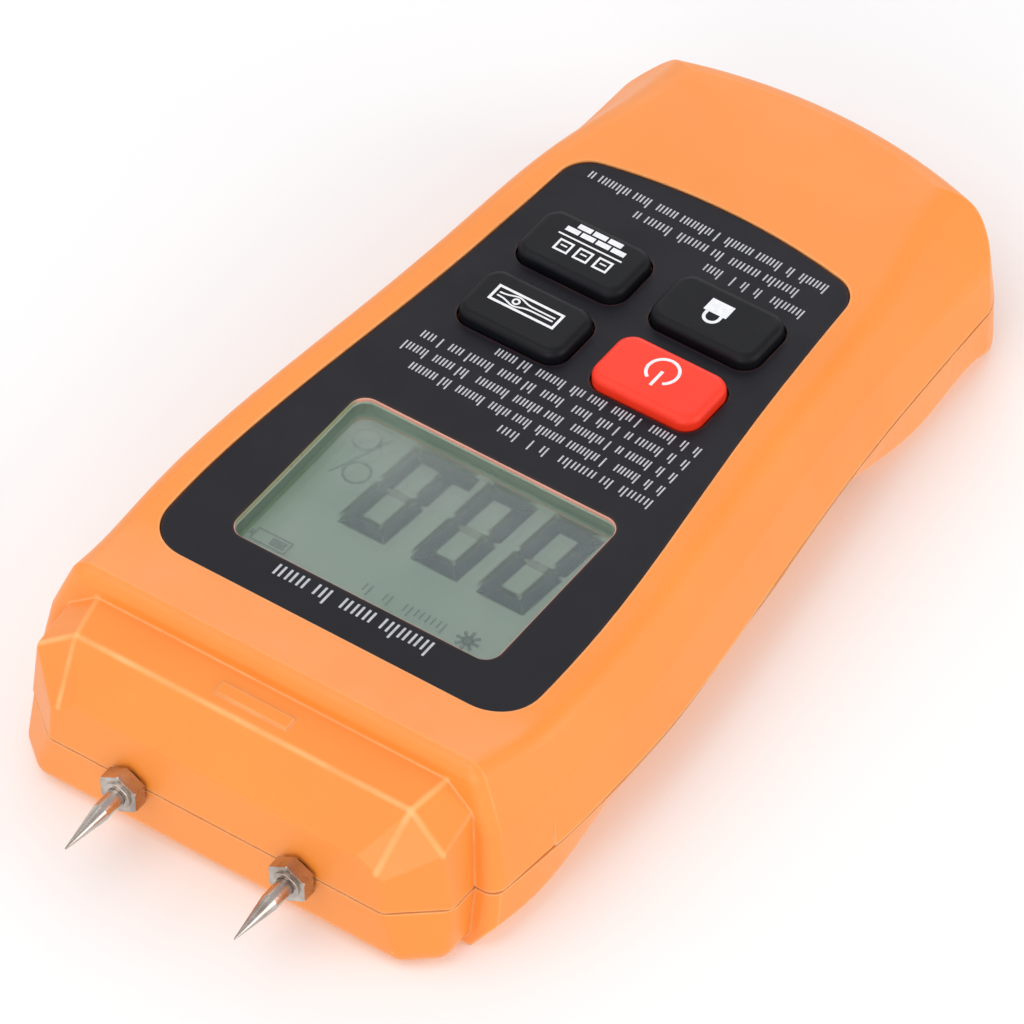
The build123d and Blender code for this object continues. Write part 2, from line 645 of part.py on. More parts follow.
def make_keypad_mat():
    """Silicone sheet on the circuit board with a hollow dome under each key."""
    middle_y = (KEY_UPPER_Y + KEY_LOWER_Y) / 2
    sheet_top = BOARD_TOP_Z + MAT_SIZE[2]
    mat = rounded_slab(MAT_SIZE[:2], 2.0, (BOARD_TOP_Z, sheet_top), (0, middle_y))
    rise = KEY_FOOT_Z - sheet_top
    for x, y in key_sites().values():
        dome = Cone(DOME_RADII[0], DOME_RADII[1], rise)
        mat += Pos(x, y, sheet_top + rise / 2) * dome
        mat -= post(x, y, DOME_RADII[1] - 0.5, (BOARD_TOP_Z - 1, KEY_FOOT_Z - 0.6))
    return mat


def make_board():
    """Circuit board, shaped to the waist, with holes for its screws."""
    left = [(-x, y) for x, y in reversed(BOARD_HALF_OUTLINE)]
    outline = make_face(Polyline(*BOARD_HALF_OUTLINE, *left, close=True))
    outline = fillet(outline.vertices(), 1.0)
    board = extrude(Pos(0, 0, BOARD_TOP_Z - BOARD_THICKNESS) * outline, BOARD_THICKNESS)
    for x, y in BOARD_SCREW_SITES:
        board -= post(x, y, BOARD_SCREW_RADIUS + 0.2, (0, 40))
    return board


def screw_body(x, y, seat_z, radius, length, head_radius, head_height):
    """Upward screw whose cross-recessed pan head is below seat_z."""
    screw = post(x, y, radius, (seat_z, seat_z + length))
    head = post(x, y, head_radius, (seat_z - head_height, seat_z))
    screw += fillet(head.edges().sort_by(Axis.Z)[0], 0.4 * head_height)
    slot_top = seat_z - 0.45 * head_height
    for size in ((1.4 * head_radius, 0.5), (0.5, 1.4 * head_radius)):
        screw -= block(
            (x - size[0] / 2, x + size[0] / 2),
            (y - size[1] / 2, y + size[1] / 2),
            (seat_z - 2 * head_height, slot_top),
        )
    return screw


def make_case_screws():
    """Four screws that close the case."""
    screws = [
        screw_body(x, y, SCREW_SEAT_Z, SCREW_RADIUS, SCREW_LENGTH, *SCREW_HEAD) for x, y in CASE_SCREW_SITES
    ]
    return Compound(children=screws)


def make_board_screws():
    """Four screws that hold the circuit board to the front cover."""
    seat_z = BOARD_TOP_Z - BOARD_THICKNESS
    return Compound(children=[
        screw_body(x, y, seat_z, BOARD_SCREW_RADIUS, BOARD_SCREW_LENGTH, *BOARD_SCREW_HEAD)
        for x, y in BOARD_SCREW_SITES
    ])


def make_display_frame():
    """Frame that clips the display glass to the board."""
    lip_top = DISPLAY_TOP_Z + FRAME_LIP
    centre = (0, WINDOW_Y)
    frame = rounded_slab(FRAME_SIZE, 1.2, (BOARD_TOP_Z, lip_top), centre)
    glass_room = (GLASS_SIZE[0] + 0.2, GLASS_SIZE[1] + 0.2)
    frame -= rounded_slab(glass_room, 0.4, (BOARD_TOP_Z - 1, DISPLAY_TOP_Z + 0.02), centre)
    opening = (GLASS_SIZE[0] - 1.6, GLASS_SIZE[1] - 1.6)
    frame -= rounded_slab(opening, 0.4, (BOARD_TOP_Z - 1, lip_top + 1), centre)
    return frame


def display_sheet(size, z_range):
    """Rectangular sheet of the display stack."""
    low, high = z_range
    return Pos(0, WINDOW_Y, (low + high) / 2) * Box(size[0], size[1], high - low)


def make_zebra_strips():
    """Two rubber strips that carry the signals from the board to the glass."""
    z_range = (BOARD_TOP_Z, DISPLAY_TOP_Z - 2 * GLASS_SHEET)
    strips = [Pos(0, side * ZEBRA_OFFSET, 0) * display_sheet(ZEBRA_SIZE, z_range) for side in (1, -1)]
    return Compound(children=strips)


def under_board(place, size, top_gap=0.0):
    """Box that hangs under the board at a place in plan."""
    top = BOARD_TOP_Z - BOARD_THICKNESS - top_gap
    x, y = place
    half_width = size[0] / 2
    half_length = size[1] / 2
    return block((x - half_width, x + half_width), (y - half_length, y + half_length), (top - size[2], top))


def chip(x, y, size, height, lead_count):
    """Chip on the underside of the board with leads on its two long sides."""
    body = under_board((x, y), (size[0], size[1], height - CHIP_STANDOFF), CHIP_STANDOFF)
    pitch = size[0] / lead_count
    lead_size = (0.4 * pitch, size[1] + 2 * CHIP_LEAD_REACH, CHIP_LEAD_THICKNESS)
    for i in range(lead_count):
        lead_x = x + (i - (lead_count - 1) / 2) * pitch
        body += under_board((lead_x, y), lead_size)
    return body


def make_small_parts():
    """Resistors and ceramic capacitors on the underside of the board, as separate solids."""
    columns, rows = SMALL_PART_COUNT
    parts = []
    for row in range(rows):
        for column in range(columns):
            x = SMALL_PART_FIRST[0] + SMALL_PART_PITCH[0] * column
            y = SMALL_PART_FIRST[1] + SMALL_PART_PITCH[1] * row
            parts.append(under_board((x, y), SMALL_PART_SIZE))
    return Compound(children=parts)


def make_capacitor():
    """Electrolytic capacitor in the hollow under the board."""
    board_z = BOARD_TOP_Z - BOARD_THICKNESS
    can = post(*CAPACITOR_PLACE, CAPACITOR_RADIUS, (board_z - CAPACITOR_HEIGHT, board_z))
    return chamfer(can.edges().sort_by(Axis.Z)[0], 0.4)


def make_trimmer():
    """Calibration trimmer with a slotted rotor."""
    rotor_top = BOARD_TOP_Z - BOARD_THICKNESS - TRIMMER_SIZE[2]
    trimmer = under_board(TRIMMER_PLACE, TRIMMER_SIZE)
    trimmer += post(*TRIMMER_PLACE, ROTOR_RADIUS, (rotor_top - ROTOR_HEIGHT, rotor_top))
    slot_gap = TRIMMER_SIZE[2] + ROTOR_HEIGHT - ROTOR_SLOT[2]
    return trimmer - under_board(TRIMMER_PLACE, (ROTOR_SLOT[0], ROTOR_SLOT[1], 1.0), slot_gap)


def make_pin(x):
    """Measuring pin: straight shank and a long cone."""
    shank = rod_along_y(x, PARTING_Z, PIN_RADIUS, (PIN_ROOT_Y, PIN_CONE_Y))
    cone_length = PIN_TIP_Y - PIN_CONE_Y
    cone = Cone(PIN_RADIUS, PIN_TIP_RADIUS, cone_length)
    return shank + Pos(x, PIN_CONE_Y + cone_length / 2, PARTING_Z) * Rot(-90, 0, 0) * cone


def make_nut(x):
    """Hexagon nut with chamfered corners and a raised ring, a corner pointing up."""
    plane = Plane(origin=(x, NUT_BACK_Y, PARTING_Z), x_dir=(0, 0, 1), z_dir=(0, 1, 0))
    corner_radius = NUT_ACROSS_FLATS / math.sqrt(3)
    hexagon = extrude(plane * RegularPolygon(corner_radius, 6), NUT_THICKNESS)
    cone_height = NUT_THICKNESS + NUT_CHAMFER_BACK
    back_growth, front_growth = NUT_CHAMFER_RADII
    cone = Cone(corner_radius + back_growth, corner_radius + front_growth, cone_height)
    cone_y = NUT_BACK_Y + cone_height / 2 - NUT_CHAMFER_BACK
    nut = hexagon & (Pos(x, cone_y, PARTING_Z) * Rot(-90, 0, 0) * cone)
    ring_front = NUT_BACK_Y + NUT_THICKNESS + NUT_RING_HEIGHT
    ring = rod_along_y(x, PARTING_Z, NUT_RING_RADIUS, (NUT_BACK_Y, ring_front))
    nut += fillet(ring.edges().sort_by(Axis.Y)[-1], 0.15)
    return nut - rod_along_y(x, PARTING_Z, PIN_RADIUS + PIN_GAP, (60, 90))


def make_nuts():
    """Both pin nuts."""
    return Compound(children=[make_nut(x) for x in (PIN_X, -PIN_X)])


def make_sockets():
    """Brass sockets that take the pins, flanged behind the front wall."""
    sockets = []
    for x in (PIN_X, -PIN_X):
        socket = rod_along_y(x, PARTING_Z, SOCKET_NECK_RADIUS, (SOCKET_FLANGE_Y[0], NUT_BACK_Y))
        socket += rod_along_y(x, PARTING_Z, SOCKET_FLANGE_RADIUS, SOCKET_FLANGE_Y)
        socket += rod_along_y(x, PARTING_Z, SOCKET_TAIL_RADIUS, (SOCKET_BACK_Y, SOCKET_FLANGE_Y[0]))
        sockets.append(socket - rod_along_y(x, PARTING_Z, PIN_RADIUS + PIN_GAP, (PIN_ROOT_Y - 0.1, 90)))
    return Compound(children=sockets)


def make_lugs():
    """Solder tags round the socket tails."""
    lugs = []
    for x in (PIN_X, -PIN_X):
        lug = rod_along_y(x, PARTING_Z, LUG_RADIUS, LUG_Y)
        lug += block((x - 1.2, x + 1.2), LUG_Y, (PARTING_Z - 6.2, PARTING_Z))
        lugs.append(lug - rod_along_y(x, PARTING_Z, SOCKET_TAIL_RADIUS + 0.03, (50, 70)))
    return Compound(children=lugs)


def wire(points):
    """Insulated wire along a smooth path."""
    path = Spline(*points)
    start = Plane(origin=path @ 0, z_dir=path % 0)
    return sweep(start * Circle(WIRE_RADIUS), path=path)


def make_pin_wire(side):
    """Wire from a socket's solder tag back to the board."""
    x = side * PIN_X
    lug_z = PARTING_Z - 5.2
    board_z = BOARD_TOP_Z - BOARD_THICKNESS - WIRE_RADIUS - 0.05
    points = [
        (x, LUG_Y[0] - 0.1, lug_z),
        (x, LUG_Y[0] - 5.0, lug_z + 0.4),
        (x - side * 2, LUG_Y[0] - 12.0, PARTING_Z - 0.2),
        (x - side * 3, LUG_Y[0] - 20.0, board_z),
    ]
    return wire(points)


def make_battery():
    """Nine-volt block with rounded long edges."""
    can = Box(*BATTERY_SIZE)
    can = fillet(can.edges().filter_by(Axis.X), 1.8)
    return Pos(*BATTERY_CENTRE) * can


def terminal_sites():
    """End face of the battery and the middle of each terminal on it."""
    face_x = BATTERY_CENTRE[0] + BATTERY_SIZE[0] / 2
    return face_x, [BATTERY_CENTRE[1] + side * TERMINAL_PITCH / 2 for side in (1, -1)]


def make_terminals():
    """Snap terminals of the battery: one round stud and one wider cup."""
    face_x, centres = terminal_sites()
    studs = []
    for y, radius in zip(centres, TERMINAL_RADII):
        place = Pos(face_x + TERMINAL_HEIGHT / 2, y, BATTERY_CENTRE[2]) * Rot(0, 90, 0)
        studs.append(place * Cylinder(radius, TERMINAL_HEIGHT))
    return Compound(children=studs)


def make_snap():
    """Snap connector pressed over both terminals."""
    face_x, centres = terminal_sites()
    low_x = face_x + 0.3
    half_y, half_z = SNAP_SIZE[1] / 2, SNAP_SIZE[2] / 2
    y, z = BATTERY_CENTRE[1], BATTERY_CENTRE[2]
    snap = block((low_x, low_x + SNAP_SIZE[0]), (y - half_y, y + half_y), (z - half_z, z + half_z))
    snap = fillet(snap.edges().filter_by(Axis.X), 2.0)
    for centre_y, radius in zip(centres, TERMINAL_RADII):
        depth = TERMINAL_HEIGHT + 0.1
        snap -= Pos(face_x + depth / 2, centre_y, z) * Rot(0, 90, 0) * Cylinder(radius + 0.05, depth)
    return snap


def make_battery_lead(offset_x, offset_z):
    """Lead from the snap connector, round the end of the bay wall, to the board."""
    face_x, _ = terminal_sites()
    start_x = face_x + 0.3 + SNAP_SIZE[0] / 2
    front_y = BATTERY_CENTRE[1] + SNAP_SIZE[1] / 2
    z = BATTERY_CENTRE[2] + offset_z
    board_z = BOARD_TOP_Z - BOARD_THICKNESS - WIRE_RADIUS - 0.05
    points = [
        (start_x, front_y + 0.1, z),
        (start_x - 1.2, front_y + 2.8, z + 0.2),
        (18.5 + offset_x, front_y + 6.6, z + 1.0),
        (14.0 + offset_x, front_y + 11.4, board_z),
    ]
    return wire(points)


def make_foam():
    """Foam pad that keeps the battery from rattling."""
    top_of_battery = BATTERY_CENTRE[2] + BATTERY_SIZE[2] / 2
    middle_z = top_of_battery + FOAM_SIZE[2] / 2
    pad = Box(*FOAM_SIZE)
    pad = fillet(pad.edges().filter_by(Axis.Z), 1.5)
    return Pos(BATTERY_CENTRE[0], BATTERY_CENTRE[1], middle_z) * pad


def make_nodes():
    """Every piece of the meter by node name."""
    glass_low = DISPLAY_TOP_Z - GLASS_SHEET
    rear_glass_low = glass_low - GLASS_SHEET
    nodes = {
        "front_cover": make_front_cover(),
        "rear_cover": make_rear_cover(),
        "battery_door": make_battery_door(),
        "face_plate": make_face_plate(),
        "window_lens": make_lens(),
        "display_frame": make_display_frame(),
        "display_front_glass": display_sheet(GLASS_SIZE, (glass_low, DISPLAY_TOP_Z)),
        "display_rear_glass": display_sheet(GLASS_SIZE, (rear_glass_low, glass_low)),
        "light_plate": display_sheet(LIGHT_PLATE_SIZE, (BOARD_TOP_Z, rear_glass_low)),
        "zebra_strips": make_zebra_strips(),
        "circuit_board": make_board(),
        "board_screws": make_board_screws(),
        "case_screws": make_case_screws(),
        "keypad_mat": make_keypad_mat(),
        "controller_chip": chip(**CONTROLLER),
        "amplifier_chip": chip(**AMPLIFIER),
        "small_board_parts": make_small_parts(),
        "capacitor": make_capacitor(),
        "calibration_trimmer": make_trimmer(),
        "left_pin": make_pin(-PIN_X),
        "right_pin": make_pin(PIN_X),
        "pin_nuts": make_nuts(),
        "pin_sockets": make_sockets(),
        "solder_tags": make_lugs(),
        "left_pin_wire": make_pin_wire(-1),
        "right_pin_wire": make_pin_wire(1),
        "battery": make_battery(),
        "battery_terminals": make_terminals(),
        "battery_snap": make_snap(),
        "red_battery_lead": make_battery_lead(0, 1.5),
        "black_battery_lead": make_battery_lead(-2.2, -2.0),
        "battery_foam": make_foam(),
    }
    for name, (x, y) in key_sites().items():
        nodes[name] = make_key(x, y)
    return nodes


def place_on_origin(shape):
    """Move each solid of a piece so that the origin is half way along the whole length."""
    middle_y = (BUTT_Y + PIN_TIP_Y) / 2
    solids = [Pos(0, -middle_y, 0) * solid for solid in shape.solids()]
    return Compound(children=solids) if len(solids) > 1 else solids[0]


os.makedirs("parts", exist_ok=True)
for node_name, shape in make_nodes().items():
    export_step(place_on_origin(shape), f"parts/{node_name}.step")
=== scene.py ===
import json
import math

import bmesh
import bpy
from mathutils import Matrix, Vector


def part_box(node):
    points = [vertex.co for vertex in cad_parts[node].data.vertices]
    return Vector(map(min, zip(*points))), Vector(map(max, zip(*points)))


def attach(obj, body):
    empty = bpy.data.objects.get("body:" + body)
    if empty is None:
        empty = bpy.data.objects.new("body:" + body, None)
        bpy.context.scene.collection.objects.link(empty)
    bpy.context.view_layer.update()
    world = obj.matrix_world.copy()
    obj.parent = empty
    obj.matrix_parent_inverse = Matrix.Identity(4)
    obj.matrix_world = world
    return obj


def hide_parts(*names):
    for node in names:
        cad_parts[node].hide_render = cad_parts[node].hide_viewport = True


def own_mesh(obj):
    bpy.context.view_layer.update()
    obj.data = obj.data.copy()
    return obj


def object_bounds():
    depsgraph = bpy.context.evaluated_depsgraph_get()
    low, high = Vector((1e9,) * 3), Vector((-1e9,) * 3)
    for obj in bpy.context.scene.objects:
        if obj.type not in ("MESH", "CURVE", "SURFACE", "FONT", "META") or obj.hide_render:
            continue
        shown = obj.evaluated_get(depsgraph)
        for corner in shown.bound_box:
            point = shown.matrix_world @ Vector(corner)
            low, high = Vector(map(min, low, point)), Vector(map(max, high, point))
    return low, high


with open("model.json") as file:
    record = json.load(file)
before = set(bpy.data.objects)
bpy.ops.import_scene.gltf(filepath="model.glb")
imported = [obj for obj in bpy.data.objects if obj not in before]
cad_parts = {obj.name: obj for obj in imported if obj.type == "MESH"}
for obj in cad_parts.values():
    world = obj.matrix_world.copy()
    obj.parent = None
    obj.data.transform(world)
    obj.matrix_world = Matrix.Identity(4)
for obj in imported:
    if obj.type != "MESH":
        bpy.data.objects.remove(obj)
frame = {"nodes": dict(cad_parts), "record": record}
cad_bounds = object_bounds()

MM = 0.001

# Camera: viewing angle of the photograph, a long lens from above the pins
VIEW_RIGHT = Vector((-0.81610, -0.57768, -0.01635))
VIEW_DOWN = Vector((-0.41256, 0.60218, -0.68351))
VIEW_FORWARD = Vector((0.40469, -0.55107, -0.72976))
CAMERA_PLACE = Vector((-0.51413, 0.69916, 0.93703))
LENS = 344.85
SENSOR = 36.0


def colour(red, green, blue):
    """Linear colour from an 8-bit sRGB one."""
    def linear(c):
        c /= 255
        return c / 12.92 if c <= 0.04045 else ((c + 0.055) / 1.055) ** 2.4
    return (linear(red), linear(green), linear(blue), 1.0)


# Linear tints of the plastics whose colour matters most
CASE_TINTS = ((0.93, 0.285, 0.042, 1), (0.88, 0.262, 0.036, 1))
# Painted highlight colour along the ridges of the head
CASE_RIDGE_HIGHLIGHT = (1.0, 0.46, 0.155, 1)
# Painted highlight colour on the edges of the case
CASE_EDGE_HIGHLIGHT = (1.0, 0.52, 0.21, 1)
PANEL_TINTS = ((0.0075, 0.0074, 0.0125, 1), (0.0060, 0.0060, 0.0100, 1))
BLACK_KEY_TINTS = ((0.0035, 0.0038, 0.0056, 1), (0.0052, 0.0055, 0.008, 1))

# Ridges of the head that catch the light, where a painted highlight runs, in mm, on the +X side
CORNER = (26.1, 57.3, 22.8)         # where the brow, the side bevel and the corner facet meet
HEAD_RIDGES = (
    ((0.0, 57.3, 22.8), CORNER),
    (CORNER, (31.8, 58.3, 18.6)),
    (CORNER, (24.8, 63.4, 15.5)),
    (CORNER, (27.3, 50.8, 23.6)),
)
RIDGE_WIDTH = 0.6


# ---------------------------------------------------------------- node materials

class Nodes:
    """Small helper that builds a node tree for one material."""

    def __init__(self, name):
        self.material = bpy.data.materials.new(name)
        self.material.use_nodes = True
        self.tree = self.material.node_tree
        self.shader = self.tree.nodes["Principled BSDF"]
        self.place = self.add("ShaderNodeTexCoord").outputs["Object"]

    def add(self, kind, **values):
        node = self.tree.nodes.new(kind)
        for key, value in values.items():
            if hasattr(node, key):
                setattr(node, key, value)
            else:
                node.inputs[key].default_value = value
        return node

    def link(self, source, target):
        self.tree.links.new(source, target)

    def noise(self, scale, detail=3.0, roughness=0.5, stretch=None):
        node = self.add("ShaderNodeTexNoise")
        node.inputs["Scale"].default_value = scale
        node.inputs["Detail"].default_value = detail
        node.inputs["Roughness"].default_value = roughness
        place = self.place
        if stretch:
            mapping = self.add("ShaderNodeMapping")
            mapping.inputs["Scale"].default_value = stretch
            self.link(place, mapping.inputs["Vector"])
            place = mapping.outputs["Vector"]
        self.link(place, node.inputs["Vector"])
        return node.outputs["Fac"]

    def spread(self, source, low, high, start=0.3, end=0.7):
        node = self.add("ShaderNodeMapRange")
        node.inputs["From Min"].default_value = start
        node.inputs["From Max"].default_value = end
        node.inputs["To Min"].default_value = low
        node.inputs["To Max"].default_value = high
        self.link(source, node.inputs["Value"])
        return node.outputs["Result"]

    def mix(self, factor, first, second):
        node = self.add("ShaderNodeMix", data_type="RGBA")
        for socket, value in (("A", first), ("B", second)):
            target = [i for i in node.inputs if i.name == socket and i.type == "RGBA"][0]
            if isinstance(value, bpy.types.NodeSocket):
                self.link(value, target)
            else:
                target.default_value = value
        if isinstance(factor, bpy.types.NodeSocket):
            self.link(factor, node.inputs["Factor"])
        else:
            node.inputs["Factor"].default_value = factor
        return [o for o in node.outputs if o.type == "RGBA"][0]

    def edges(self, radius, dull=0.80, keen=0.985):
        """Bright on sharp edges, dark elsewhere. The limits are cosines of the turn at an edge."""
        bevel = self.add("ShaderNodeBevel", samples=4)
        bevel.inputs["Radius"].default_value = radius
        geometry = self.add("ShaderNodeNewGeometry")
        dot = self.add("ShaderNodeVectorMath", operation="DOT_PRODUCT")
        self.link(bevel.outputs["Normal"], dot.inputs[0])
        self.link(geometry.outputs["Normal"], dot.inputs[1])
        return self.spread(dot.outputs["Value"], 1.0, 0.0, dull, keen)

    def near_line(self, start, end, width):
        """Bright close to a straight line between two points in mm, mirrored in the YZ plane."""
        low = Vector(start) * MM
        run = Vector(end) * MM - low
        mirror = self.add("ShaderNodeVectorMath", operation="ABSOLUTE")
        self.link(self.place, mirror.inputs[0])
        keep = self.add("ShaderNodeVectorMath", operation="MULTIPLY")
        keep.inputs[1].default_value = (1, 0, 0)
        self.link(mirror.outputs["Vector"], keep.inputs[0])
        flat = self.add("ShaderNodeVectorMath", operation="MULTIPLY_ADD")
        flat.inputs[1].default_value = (0, 1, 1)
        self.link(self.place, flat.inputs[0])
        self.link(keep.outputs["Vector"], flat.inputs[2])
        offset = self.add("ShaderNodeVectorMath", operation="SUBTRACT")
        offset.inputs[1].default_value = low
        self.link(flat.outputs["Vector"], offset.inputs[0])
        dot = self.add("ShaderNodeVectorMath", operation="DOT_PRODUCT")
        dot.inputs[1].default_value = run / run.length_squared
        self.link(offset.outputs["Vector"], dot.inputs[0])
        share = self.spread(dot.outputs["Value"], 0, 1, 0, 1)
        foot = self.add("ShaderNodeVectorMath", operation="SCALE")
        foot.inputs[0].default_value = run
        self.link(share, foot.inputs["Scale"])
        gap = self.add("ShaderNodeVectorMath", operation="DISTANCE")
        self.link(offset.outputs["Vector"], gap.inputs[0])
        self.link(foot.outputs["Vector"], gap.inputs[1])
        return self.spread(gap.outputs["Value"], 1, 0, 0.3 * width * MM, width * MM)

    def bump(self, height, strength, distance, soften=0.0):
        node = self.add("ShaderNodeBump")
        node.inputs["Strength"].default_value = strength
        node.inputs["Distance"].default_value = distance
        self.link(height, node.inputs["Height"])
        if soften:
            bevel = self.add("ShaderNodeBevel", samples=4)
            bevel.inputs["Radius"].default_value = soften
            self.link(bevel.outputs["Normal"], node.inputs["Normal"])
        self.link(node.outputs["Normal"], self.shader.inputs["Normal"])

    def set(self, **values):
        names = {"color": "Base Color", "roughness": "Roughness", "metallic": "Metallic"}
        for key, value in values.items():
            socket = self.shader.inputs[names.get(key, key.replace("_", " "))]
            if isinstance(value, bpy.types.NodeSocket):
                self.link(value, socket)
            else:
                socket.default_value = value
        return self

    def along(self, axis):
        """Distance along one axis of the object, in metres."""
        parts = self.add("ShaderNodeSeparateXYZ")
        self.link(self.place, parts.inputs["Vector"])
        return parts.outputs[axis]

    def times(self, first, second):
        node = self.add("ShaderNodeMath", operation="MULTIPLY")
        for socket, value in zip(node.inputs, (first, second)):
            if isinstance(value, bpy.types.NodeSocket):
                self.link(value, socket)
            else:
                socket.default_value = value
        return node.outputs["Value"]

    def see_through(self, share):
        """Mixes the shader with plain transparency. A share of 0 is clear and 1 is solid."""
        clear = self.add("ShaderNodeBsdfTransparent")
        both = self.add("ShaderNodeMixShader")
        if isinstance(share, bpy.types.NodeSocket):
            self.link(share, both.inputs["Fac"])
        else:
            both.inputs["Fac"].default_value = share
        self.link(clear.outputs["BSDF"], both.inputs[1])
        self.link(self.shader.outputs["BSDF"], both.inputs[2])
        self.link(both.outputs["Shader"], self.tree.nodes["Material Output"].inputs["Surface"])


def moulded(name, base, other, roughness, grain=2600, depth=0.03, worn=None, soften=0.0, shine=0.5):
    """Moulded plastic or rubber: two close tints, uneven gloss, fine mould texture, paler worn edges."""
    n = Nodes(name)
    tint = n.mix(n.spread(n.noise(45, detail=4), 0, 1), base, other)
    if worn:
        scuffs_and_edge_highlight = n.times(n.edges(0.0007), n.spread(n.noise(260, detail=4), 0.15, 0.9))
        tint = n.mix(scuffs_and_edge_highlight, tint, worn)
    gloss = n.spread(n.noise(120, detail=5, roughness=0.65), roughness - 0.06, roughness + 0.08)
    n.set(color=tint, roughness=gloss, Specular_IOR_Level=shine)
    n.bump(n.noise(grain, detail=2), 0.35, depth * MM, soften)
    return n.material


def case_plastic(name):
    """Orange case plastic, with painted highlights along the ridges of the head and on its edges."""
    n = Nodes(name)
    tint = n.mix(n.spread(n.noise(45, detail=4), 0, 1), *CASE_TINTS)
    ridge_highlight_breakup = n.spread(n.noise(190, detail=3), 0.3, 0.85)
    # Painted highlight along each ridge of the head, broken up by noise
    for start, end in HEAD_RIDGES:
        tint = n.mix(n.times(n.near_line(start, end, RIDGE_WIDTH), ridge_highlight_breakup), tint, CASE_RIDGE_HIGHLIGHT)
    # Painted highlight on the edges of the case
    scuffs_and_edge_highlight = n.times(n.edges(0.0005, 0.93, 0.994), n.spread(n.noise(260, detail=4), 0.55, 1.0))
    tint = n.mix(scuffs_and_edge_highlight, tint, CASE_EDGE_HIGHLIGHT)
    gloss = n.spread(n.noise(120, detail=5, roughness=0.65), 0.32, 0.46)
    n.set(color=tint, roughness=gloss)
    n.bump(n.noise(2600, detail=2), 0.35, 0.035 * MM, 0.0004)
    return n.material


def metal(name, base, other, roughness, turned=None, depth=0.01):
    """Bare or plated metal with fine tool marks. The marks run round the axis that turned stretches."""
    n = Nodes(name)
    marks = n.noise(900, detail=3, stretch=turned or (1, 1, 1))
    stains = n.noise(260, detail=3)
    tint = n.mix(n.spread(stains, 0, 1, 0.35, 0.7), base, other)
    gloss = n.spread(marks, roughness - 0.06, roughness + 0.1)
    n.set(color=tint, roughness=gloss, metallic=1.0)
    n.bump(marks, 0.18, depth * MM, soften=0.0001)
    return n.material


def clear_plastic(name):
    """Thin polished window: see-through face on, with a faintly smudged reflection at a glancing angle."""
    n = Nodes(name)
    fresnel = n.add("ShaderNodeFresnel")
    fresnel.inputs["IOR"].default_value = 1.45
    smudges = n.spread(n.noise(90, detail=5), 0.05, 0.16)
    tint = n.mix(n.spread(n.noise(60), 0, 1), colour(244, 250, 246), colour(232, 244, 236))
    n.set(color=tint, roughness=smudges, metallic=1.0)
    n.bump(n.noise(30, detail=1), 0.1, 0.02 * MM)
    n.see_through(n.times(fresnel.outputs["Fac"], 0.9))
    return n.material


def liquid_crystal(name):
    """Grey-green display glass, with painted shade towards the butt and a painted green edge light towards
    the +X edge.
    """
    n = Nodes(name)
    right, low = WINDOW["right"], WINDOW["low"]
    glass = n.mix(n.spread(n.noise(70, detail=3), 0, 1), colour(155, 175, 160), colour(148, 169, 155))
    # Painted green edge light towards the +X edge
    green = n.spread(n.along("X"), 0, 1, (right - 4.5) * MM, (right + 0.3) * MM)
    glass = n.mix(n.times(green, 0.85), glass, colour(92, 150, 100))
    # Painted shade towards the butt
    shade = n.spread(n.along("Y"), 1, 0, (low - 1.6) * MM, (low + 1.0) * MM)
    glass = n.mix(n.times(shade, 0.75), glass, colour(96, 112, 98))
    n.set(color=glass, roughness=n.spread(n.noise(400), 0.3, 0.42))
    n.bump(n.noise(1500, detail=1), 0.15, 0.01 * MM)
    return n.material


def circuit_green(name):
    """Solder mask over copper tracks, with bare fibre at the cut edges."""
    n = Nodes(name)
    tracks = n.add("ShaderNodeTexBrick", offset=0.35, squash=1.6)
    tracks.inputs["Scale"].default_value = 260
    tracks.inputs["Mortar Size"].default_value = 0.012
    n.link(n.place, tracks.inputs["Vector"])
    mask = n.mix(tracks.outputs["Fac"], colour(18, 88, 48), colour(36, 122, 66))
    mask = n.mix(n.times(n.edges(0.0004), 0.7), mask, colour(186, 178, 120))
    n.set(color=mask, roughness=n.spread(n.noise(300), 0.28, 0.42))
    n.bump(tracks.outputs["Fac"], 0.3, 0.03 * MM)
    return n.material


def battery_wrap(name):
    """Printed steel jacket in two plain bands."""
    n = Nodes(name)
    band = n.spread(n.along("X"), 0, 1, 0.0095, 0.0097)
    jacket = n.mix(band, colour(34, 35, 40), colour(176, 118, 58))
    n.set(color=n.mix(n.spread(n.noise(200), 0, 0.2), jacket, colour(120, 120, 124)),
          roughness=n.spread(n.noise(350), 0.3, 0.45), metallic=0.35)
    n.bump(n.noise(900), 0.2, 0.02 * MM, soften=0.0002)
    return n.material


def open_foam(name):
    """Grey open-cell foam, with painted shade in the hollows of the cells."""
    n = Nodes(name)
    cells = n.add("ShaderNodeTexVoronoi")
    cells.inputs["Scale"].default_value = 1500
    n.link(n.place, cells.inputs["Vector"])
    # Painted shade: darker where the bump is low, in the hollows of the cells
    n.set(color=n.mix(cells.outputs["Distance"], colour(48, 48, 50), colour(104, 104, 106)), roughness=0.95)
    n.bump(cells.outputs["Distance"], 0.9, 0.2 * MM)
    return n.material


def ink(name, tone, other, share=None, roughness=0.5):
    """Screen-printed ink with slightly uneven cover. With a share it's a see-through film."""
    n = Nodes(name)
    cover = n.noise(1400, detail=3)
    n.set(color=n.mix(n.spread(cover, 0, 1), tone, other),
          roughness=n.spread(cover, roughness, roughness + 0.15))
    n.bump(cover, 0.2, 0.01 * MM)
    if share:
        n.see_through(share)
    return n.material


